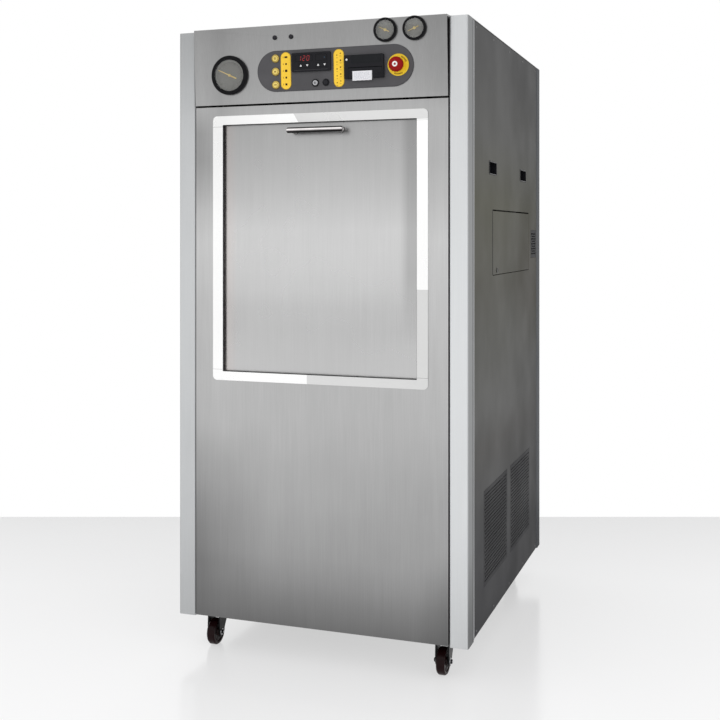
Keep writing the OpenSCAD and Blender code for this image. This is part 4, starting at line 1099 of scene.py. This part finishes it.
def panel_screws():
    """Screws that hold the side, rear and top panels."""
    for name, side in (("left", -1), ("right", 1)):
        low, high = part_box(f"side_panel_{name}")
        x = high.x if side > 0 else low.x
        screws = bmesh.new()
        for z in (low.z + 14 * MM, high.z - 14 * MM):
            for i in range(5):
                y = low.y + 0.03 + (high.y - low.y - 0.06) * i / 4
                add_screw(screws, Matrix.Translation((x - side * 0.1 * MM, y, z)) @ facing((side, 0, 0)),
                          2.6 * MM)
        piece(f"side_screws_{name}", screws, "screw_steel", "cabinet", "stainless_side")
    low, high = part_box("rear_panel")
    screws = bmesh.new()
    for side in (-1, 1):
        for i in range(8):
            z = low.z + 0.03 + (high.z - low.z - 0.06) * i / 7
            place = Matrix.Translation((side * (high.x - 12 * MM), high.y - 0.1 * MM, z))
            add_screw(screws, place @ facing((0, 1, 0)))
    for z in (low.z + 12 * MM, high.z - 12 * MM):
        for i in range(1, 5):
            x = low.x + (high.x - low.x) * i / 5
            add_screw(screws, Matrix.Translation((x, high.y - 0.1 * MM, z)) @ facing((0, 1, 0)))
    piece("rear_screws", screws, "screw_steel", "cabinet", "stainless_side")
    low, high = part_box("top_panel")
    screws = bmesh.new()
    for y in (low.y + 0.05, high.y - 0.02):
        for i in range(6):
            x = low.x + 0.03 + (high.x - low.x - 0.06) * i / 5
            add_screw(screws, Matrix.Translation((x, y, high.z - 0.6 * MM)) @ facing((0, 0, 1)))
    piece("top_screws", screws, "screw_steel", "cabinet", "stainless_front")


# ---- rear, top and inside ----

SERVICES = {"inlet": (-250, 260, 13), "drain": (-120, 200, 20), "exhaust": (60, 240, 17),
            "air": (190, 240, 8)}
GLAND = (300, 330)


def rear_services():
    """Wall washers and threads of the four pipe stubs, and the ribbed dome nut of the mains gland."""
    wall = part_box("rear_panel")[1].y
    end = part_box("pipework")[1].y
    out = facing((0, 1, 0))
    for name, (x, z, r) in SERVICES.items():
        base = Matrix.Translation((x * MM, wall, z * MM)) @ out
        washer = bmesh.new()
        add_ring(washer, r * 1.30 * MM, r * 1.75 * MM, 0.05 * MM, 1.5 * MM, base, 48)
        piece(f"{name}_wall_washer", washer, "screw_steel", "cabinet", "stainless_side")
        thread = bmesh.new()
        tip = Matrix.Translation((x * MM, end, z * MM)) @ out
        for turn in range(5):
            low = -2.0 * MM - turn * 1.9 * MM
            add_turned(thread, [((r - 0.3) * MM, low - 0.9 * MM), ((r + 0.7) * MM, low - 0.15 * MM),
                                ((r + 0.7) * MM, low + 0.15 * MM), ((r - 0.3) * MM, low + 0.9 * MM)], tip, 40)
        piece(f"{name}_thread", thread, "pipe_brass", "cabinet", "pipe_copper")
        bore = bmesh.new()
        add_turned(bore, [(0.0, 0.06 * MM), (r * 0.62 * MM, 0.06 * MM), (r * 0.66 * MM, 0.5 * MM),
                          (r * 0.82 * MM, 0.5 * MM), (r * 0.88 * MM, 0.03 * MM)], tip, 40)
        piece(f"{name}_cap", bore, "panel_black", "cabinet", "panel_black")
    gland = bmesh.new()
    base = Matrix.Translation((GLAND[0] * MM, wall, GLAND[1] * MM)) @ out
    add_turned(gland, [(12.1 * MM, 8 * MM), (17 * MM, 8 * MM), (17 * MM, 16 * MM), (15.5 * MM, 20 * MM),
                       (12.1 * MM, 22.5 * MM), (12.1 * MM, 8 * MM)], base, 48)
    for i in range(16):
        spot = base @ Matrix.Rotation(math.pi / 8 * i, 4, "Z") @ Matrix.Translation((16.9 * MM, 0, 12 * MM))
        add_plate(gland, rounded(7 * MM, 2.2 * MM, 1 * MM), 0.7 * MM,
                  spot @ Matrix.Rotation(math.pi / 2, 4, "Y"))
    piece("gland_dome_nut", gland, "panel_black", "cabinet", "panel_black")


def louvre_hoods():
    """Pressed hoods over the slots high on the rear panel."""
    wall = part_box("rear_panel")[1].y
    hoods = bmesh.new()
    along_x = Matrix(((0, 0, 1, 0), (1, 0, 0, 0), (0, 1, 0, 0), (0, 0, 0, 1)))
    for row in range(8):
        z = (1500 + row * 26) * MM
        place = Matrix.Translation((-262 * MM, wall, z)) @ along_x
        section = [(-0.3 * MM, 13.5 * MM), (0.6 * MM, 13.4 * MM), (2.6 * MM, 10.5 * MM), (4.4 * MM, 5.0 * MM),
                   (5.0 * MM, -1.0 * MM), (4.2 * MM, -1.0 * MM), (3.5 * MM, 4.8 * MM), (1.8 * MM, 9.8 * MM),
                   (-0.3 * MM, 12.2 * MM)]
        add_plate(hoods, section, 204 * MM, place)
        for x in (-262, -59.2):
            cheek = Matrix.Translation((x * MM, wall, z)) @ along_x
            add_plate(hoods, [(-0.3 * MM, 13 * MM), (-0.3 * MM, -1 * MM), (4.8 * MM, -1 * MM),
                              (4.2 * MM, 5 * MM),
                              (2.4 * MM, 10 * MM)], 1.2 * MM, cheek)
    piece("rear_louvre_hoods", hoods, "stainless_side", "cabinet", "stainless_side", smooth=False)


def rear_plates():
    """Blank data plate held by four rivets, and a plain warning triangle over the hot outlet."""
    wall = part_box("rear_panel")[1].y
    base = Matrix.Translation((130 * MM, wall, 760 * MM)) @ Matrix.Rotation(math.pi, 4, "Z")
    base = base @ facing((0, -1, 0))
    plate = bmesh.new()
    add_plate(plate, rounded(120 * MM, 76 * MM, 4 * MM), 1.0 * MM, base, 0.3 * MM)
    for x in (-54, 54):
        for y in (-32, 32):
            rivet = base @ Matrix.Translation((x * MM, y * MM, 1.0 * MM))
            add_turned(plate, [(2.4 * MM, 0.0), (2.2 * MM, 0.7 * MM), (1.2 * MM, 1.1 * MM), (0.0, 1.2 * MM)],
                       rivet, 16)
    piece("data_plate", plate, "key_chrome", "cabinet", "key_chrome")
    fields = bmesh.new()
    for row in range(5):
        for x, w in ((-24, 50), (30, 42)):
            spot = base @ Matrix.Translation((x * MM, (24 - row * 12) * MM, 1.0 * MM))
            add_plate(fields, rounded(w * MM, 7 * MM, 1 * MM), 0.12 * MM, spot)
    piece("data_plate_fields", fields, "field_grey", "cabinet", "panel_black")
    spot = Matrix.Translation((60 * MM, wall, 345 * MM)) @ Matrix.Rotation(math.pi, 4, "Z")
    spot = spot @ facing((0, -1, 0))
    sign = bmesh.new()
    add_plate(sign, [(-30 * MM, -20 * MM), (30 * MM, -20 * MM), (0, 32 * MM)], 0.5 * MM, spot)
    piece("hot_outlet_sign", sign, "overlay_yellow", "cabinet", "overlay_yellow")
    bars = bmesh.new()
    for x in (-8, 0, 8):
        rise = 15 if x == 0 else 8
        bar = spot @ Matrix.Translation((x * MM, (-14 + rise / 2) * MM, 0.5 * MM))
        add_plate(bars, rounded(3 * MM, rise * MM, 1.4 * MM), 0.2 * MM, bar)
    add_frame(bars, [(-30 * MM, -20 * MM), (30 * MM, -20 * MM), (0, 32 * MM)],
              [(-25 * MM, -17 * MM), (25 * MM, -17 * MM), (0, 26 * MM)], 0.2 * MM,
              spot @ Matrix.Translation((0, 0, 0.5 * MM)))
    piece("hot_outlet_sign_marks", bars, "mark_dark", "cabinet", "panel_black")


def top_plugs():
    """Domed plugs in the four lifting points and two pressed stiffening beads across the top."""
    low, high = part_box("top_panel")
    plugs = bmesh.new()
    for x in (low.x + 0.09, high.x - 0.09):
        for y in (low.y + 0.12, high.y - 0.10):
            place = Matrix.Translation((x, y, high.z - 0.05 * MM))
            add_turned(plugs, [(14 * MM, 0.0), (14 * MM, 1.2 * MM), (12.5 * MM, 2.6 * MM), (7 * MM, 3.4 * MM),
                               (0.0, 3.6 * MM)], place, 32)
            add_turned(plugs, [(0.0, 0.0), (14 * MM, 0.0)], place, 32)
    piece("lifting_point_plugs", plugs, "panel_black", "cabinet", "panel_black")
    beads = bmesh.new()
    for y in (low.y + 0.36, low.y + 0.72):
        place = Matrix.Translation((0, y, high.z - 0.05 * MM))
        add_plate(beads, rounded(high.x * 2 - 0.24, 26 * MM, 12.9 * MM, count=10), 1.6 * MM, place, 1.2 * MM)
    piece("top_stiffening_beads", beads, "stainless_front", "cabinet", "stainless_front", 0.5 * MM)


def column_beads():
    """Strips down the return of each front column: a bright one on the rolled edge as a painted highlight, a
    dark one for the groove as painted shade.
    """
    low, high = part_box("corner_columns")
    rear = COLUMN_D * MM + FRONT_Y
    bright, dark = bmesh.new(), bmesh.new()
    for side in (-1, 1):
        turn = facing((side, 0, 0))
        height = high.z - low.z - 8 * MM
        for mesh, y, w, rise in ((bright, rear - 5.2 * MM, 9 * MM, 0.5 * MM),
                                 (dark, rear - 15 * MM, 6 * MM, 0.15 * MM)):
            place = Matrix.Translation((side * (high.x - 0.05 * MM), y, (low.z + high.z) / 2)) @ turn
            tall = turn.to_3x3().inverted() @ Vector((0, 0, 1))
            outline = rectangle(height, w) if abs(tall.x) > 0.5 else rectangle(w, height)
            add_plate(mesh, outline, rise, place)
    # Painted highlight strips and painted shade strips.
    piece("column_edge_highlight_strips", bright, "edge_highlight_silver", "cabinet", "column_silver", smooth=False)
    piece("column_groove_shade_strips", dark, "groove_shade_grey", "cabinet", "column_silver", smooth=False)


def flap_details():
    """Dark rubber down the front edge of the access flap and a slotted cap on its lock."""
    low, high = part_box("access_flap")
    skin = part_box("side_panel_right")[1].x
    rubber = bmesh.new()
    turn = facing((1, 0, 0))
    tall = turn.to_3x3().inverted() @ Vector((0, 0, 1))
    place = Matrix.Translation((skin - 0.1 * MM, low.y - 2.6 * MM, (low.z + high.z) / 2 + 1 * MM)) @ turn
    height = high.z - low.z
    outline = rectangle(height, 4.8 * MM) if abs(tall.x) > 0.5 else rectangle(4.8 * MM, height)
    add_plate(rubber, outline, 0.45 * MM, place)
    piece("flap_front_rubber", rubber, "seal_black", "cabinet", "gasket_red", smooth=False)
    lock = bmesh.new()
    lock_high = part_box("flap_lock")[1]
    spot = Matrix.Translation((lock_high.x, FRONT_Y + FLAP_LOCK_BACK * MM, FLAP_LOCK_UP * MM)) @ turn
    add_ring(lock, 5.2 * MM, 7.4 * MM, -0.1 * MM, 0.5 * MM, spot, 32)
    add_plate(lock, rounded(7.2 * MM, 1.6 * MM, 0.7 * MM), 0.35 * MM, spot)
    piece("flap_lock_ring", lock, "panel_black", "flap_lock", "key_chrome")


def switchgear():
    """Toggles and terminal screws on the breakers and the controller behind the flap."""
    screws, levers, labels = bmesh.new(), bmesh.new(), bmesh.new()
    turn = facing((1, 0, 0))
    for i in range(6):
        y = 452 + i * 27
        for z in (1112, 1120, 1166, 1174):
            add_screw(screws, Matrix.Translation(at(371.9, y, z)) @ turn, 3.0 * MM)
        lever_place = Matrix.Translation(at(371.9, y, 1143)) @ turn
        add_plate(levers, rounded(9 * MM, 9 * MM, 2 * MM), 5 * MM, lever_place, 1 * MM)
        add_plate(labels, rectangle(18 * MM, 16 * MM), 0.3 * MM, lever_place)
    for i in range(16):
        for z in (1220, 1254):
            add_screw(screws, Matrix.Translation(at(359.9, 450 + i * 21, z)) @ turn, 3.6 * MM)
    for i in range(9):
        add_screw(screws, Matrix.Translation(at(379.9, 648 + i * 14, 1112)) @ turn, 3.0 * MM)
    meter_place = Matrix.Translation(at(379.9, 705, 1155)) @ turn
    add_plate(levers, rounded(60 * MM, 40 * MM, 3 * MM), 0.8 * MM, meter_place)
    piece("terminal_screws", screws, "pipe_brass", "cabinet", "pipe_copper")
    piece("breaker_levers", levers, "panel_black", "cabinet", "panel_black")
    piece("breaker_labels", labels, "mark_white", "cabinet", "box_grey")


def jacket_bands():
    """Three steel bands with buckles round the insulation."""
    low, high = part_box("insulation_jacket")
    centre = middle((low, high))
    w, h = high.x - low.x, high.z - low.z
    bands = bmesh.new()
    for share in (0.18, 0.5, 0.82):
        y = low.y + (high.y - low.y) * share
        place = Matrix.Translation((centre.x, y, centre.z)) @ Matrix.Rotation(math.pi / 2, 4, "X")
        add_frame(bands, rounded(w + 1.8 * MM, h + 1.8 * MM, 21 * MM),
                  rounded(w - 0.2 * MM, h - 0.2 * MM, 20 * MM),
                  20 * MM, place)
        for side in (-1, 1):
            buckle = Matrix.Translation((side * (w / 2 + 0.8 * MM), y - 10 * MM, centre.z))
            buckle = buckle @ facing((side, 0, 0))
            add_plate(bands, rounded(34 * MM, 34 * MM, 4 * MM), 3 * MM, buckle, 1 * MM)
    piece("jacket_bands", bands, "screw_steel", "cabinet", "insulation_foil", smooth=False)


def chamber_fittings():
    """Drain strainer, temperature probe and steam baffle inside the chamber."""
    gasket_low, gasket_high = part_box("door_gasket")
    centre = middle((gasket_low, gasket_high))
    bottom = gasket_low.z + 23.5 * MM
    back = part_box("pressure_vessel")[1].y - 10 * MM
    strainer = bmesh.new()
    place = Matrix.Translation((0, FRONT_Y + DRAIN_BACK * MM, bottom))
    add_turned(strainer, [(34 * MM, 0.05 * MM), (34 * MM, 1.4 * MM), (30 * MM, 3.6 * MM), (16 * MM, 4.6 * MM),
                          (0.0, 4.8 * MM)], place, 48)
    piece("chamber_strainer", strainer, "shaft_steel", "cabinet", "vessel_steel")
    # Black discs stand for the strainer's holes: painted shade.
    holes = bmesh.new()
    for ring, count in ((10, 8), (19, 14), (26, 20)):
        for i in range(count):
            angle = 2 * math.pi * i / count
            spot = place @ Matrix.Translation((ring * MM * math.cos(angle), ring * MM * math.sin(angle),
                                               3.7 * MM))
            add_plate(holes, circle(1.6 * MM, 10), 1.2 * MM, spot)
    piece("chamber_strainer_hole_shade", holes, "seal_black", "cabinet", "vessel_steel")
    inside = facing((0, -1, 0))
    probe = bmesh.new()
    add_turned(probe, [(13 * MM, 0.05 * MM), (13 * MM, 6 * MM), (9 * MM, 8 * MM), (4 * MM, 9 * MM),
                       (3.2 * MM, 11 * MM),
                       (3.2 * MM, 88 * MM), (1.6 * MM, 90 * MM), (0.0, 90.4 * MM)],
               Matrix.Translation((170 * MM, back, centre.z + 190 * MM)) @ inside, 32)
    piece("chamber_probe", probe, "shaft_steel", "cabinet", "vessel_steel")
    baffle = bmesh.new()
    place = Matrix.Translation((0, back, centre.z + 60 * MM)) @ Matrix.Rotation(math.pi / 2, 4, "X")
    add_plate(baffle, rounded(260 * MM, 200 * MM, 24 * MM, count=8), 2 * MM,
              place @ Matrix.Translation((0, 0, 5 * MM)),
              0.6 * MM)
    for x in (-118, 118):
        for y in (-88, 88):
            spot = place @ Matrix.Translation((x * MM, y * MM, 0.05 * MM))
            add_turned(baffle, [(5 * MM, 0.0), (5 * MM, 5 * MM), (5 * MM, 7.1 * MM), (7 * MM, 7.1 * MM),
                                (6 * MM, 9.4 * MM), (0.0, 10 * MM)], spot, 20)
    piece("chamber_baffle", baffle, "vessel_steel", "cabinet", "vessel_steel")


# ---- castors ----


def castor_details():
    """A dark hub with spokes on each side of each wheel, and washers and axle ends on each castor."""
    for corner in ("fl", "fr", "rl", "rr"):
        low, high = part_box(f"castor_wheel_{corner}")
        centre = middle((low, high))
        radius = (high.z - low.z) / 2
        half = (high.x - low.x) / 2
        hubs = bmesh.new()
        for side in (-1, 1):
            place = Matrix.Translation(centre) @ facing((side, 0, 0))
            add_ring(hubs, 13.5 * MM, radius - 10.5 * MM, half - 5.6 * MM, half - 3.4 * MM, place, 40)
            for i in range(6):
                spot = place @ Matrix.Rotation(math.pi / 3 * i, 4, "Z")
                spot = spot @ Matrix.Translation((20.2 * MM, 0, half - 4.6 * MM))
                add_plate(hubs, rounded(12 * MM, 3.2 * MM, 1.2 * MM), 2.2 * MM, spot, 0.4 * MM)
        piece(f"wheel_hub_{corner}", hubs, "wheel_core", f"castor_wheel_{corner}", "castor_black")
        washers = bmesh.new()
        for side in (-1, 1):
            place = Matrix.Translation(centre) @ facing((side, 0, 0))
            add_ring(washers, 5.5 * MM, 9.5 * MM, 20.0 * MM, 21.4 * MM, place, 32)
            add_turned(washers, [(0.0, 25.0 * MM), (3.4 * MM, 25.0 * MM), (3.4 * MM, 26.3 * MM),
                                 (2.4 * MM, 27.0 * MM), (0.0, 27.0 * MM)], place, 20)
        piece(f"axle_ends_{corner}", washers, "key_chrome", f"castor_fork_{corner}", "key_chrome")


# ---- stage ----


def studio():
    """Pale floor that ends behind the machine, a white surround and soft lamps."""
    scene = bpy.context.scene
    scene.view_settings.view_transform = "Standard"
    world = bpy.data.worlds.new("surround")
    world.use_nodes = True
    sky = world.node_tree
    direction = sky.nodes.new("ShaderNodeTexCoord")
    split = sky.nodes.new("ShaderNodeSeparateXYZ")
    fade = sky.nodes.new("ShaderNodeValToRGB")
    sky.links.new(direction.outputs["Generated"], split.inputs["Vector"])
    sky.links.new(split.outputs["Z"], fade.inputs["Fac"])
    sky.links.new(fade.outputs["Color"], sky.nodes["Background"].inputs["Color"])
    for element, (height, tone) in zip(fade.color_ramp.elements, ((0.45, 1.0), (0.85, 0.62))):
        element.position = height
        element.color = (tone, tone, tone, 1)
    scene.world = world
    camera_data = bpy.data.cameras.new("camera")
    camera_data.lens = 55.43
    camera_data.sensor_width = 36
    camera_data.shift_y = -0.1754
    camera = bpy.data.objects.new("camera", camera_data)
    camera.location = (1.139, -3.413, 1.210)
    camera.rotation_euler = (math.radians(90), 0, math.radians(19.33))
    scene.collection.objects.link(camera)
    scene.camera = camera
    ground()
    lamp("key", (-1.4, -3.4, 3.4), (0, 0, 0.9), 3.0, 14)
    lamp("fill", (2.8, -2.6, 2.2), (0.2, 0, 1.0), 2.4, 6)


def lamp(name, place, aim, size, power):
    """Square soft light aimed at a point."""
    data = bpy.data.lights.new(name, "AREA")
    data.shape = "SQUARE"
    data.size = size
    data.energy = power
    light = bpy.data.objects.new(name, data)
    light.location = place
    light.rotation_euler = (Vector(aim) - Vector(place)).to_track_quat("-Z", "Y").to_euler()
    bpy.context.scene.collection.objects.link(light)


FLOOR_TURN = math.radians(19.33)
FLOOR_BACK = 1.14


def ground():
    """Floor plane with its back edge square to the view; it glows with painted light, a little brighter
    towards the front, which also lifts the shade under the machine.
    """
    mesh = bmesh.new()
    steps = 8
    turn = Matrix.Rotation(FLOOR_TURN, 4, "Z")
    rows = []
    for i in range(steps + 1):
        y = FLOOR_BACK - i * 6.0 / steps
        rows.append([mesh.verts.new(turn @ Vector((x, y, 0))) for x in (-7.0, -2.5, 0.0, 2.5, 7.0)])
    for near, far in zip(rows[1:], rows):
        for i in range(4):
            mesh.faces.new((near[i], near[i + 1], far[i + 1], far[i]))
    data = bpy.data.meshes.new("floor")
    mesh.to_mesh(data)
    mesh.free()
    finish = Finish("floor", (0.34, 0.34, 0.345), 0.16, Specular_IOR_Level=0.28)
    turned = finish.tree.nodes.new("ShaderNodeMapping")
    turned.inputs["Rotation"].default_value = (0, 0, -FLOOR_TURN)
    finish.link(finish.place, turned.inputs["Vector"])
    depth = finish.span(finish.axis("Y", turned.outputs["Vector"]), FLOOR_BACK, FLOOR_BACK - 2.6)
    # Painted light: the floor glows, brighter towards the front.
    glow = finish.ramp(depth, (0.0, 0.36), (0.35, 0.50), (0.8, 0.615), (1.0, 0.665))
    finish.link(glow, finish.shader.inputs["Emission Color"])
    finish.shader.inputs["Emission Strength"].default_value = 1.0
    finish.tint(finish.ramp(finish.noise(1.2), (0.3, 0.97), (0.7, 1.0)))
    data.materials.append(finish.material)
    floor = bpy.data.objects.new("floor", data)
    bpy.context.scene.collection.objects.link(floor)


studio()
make_finishes()
dress_cad()
gauges()
push_buttons()
strip_symbols()
display()
key_switch()
printer()
emergency_stop()
plate_edge()
lamps()
door_recess_shade()
handle_details()
vents()
panel_screws()
rear_services()
louvre_hoods()
rear_plates()
top_plugs()
column_beads()
flap_details()
switchgear()
jacket_bands()
chamber_fittings()
castor_details()
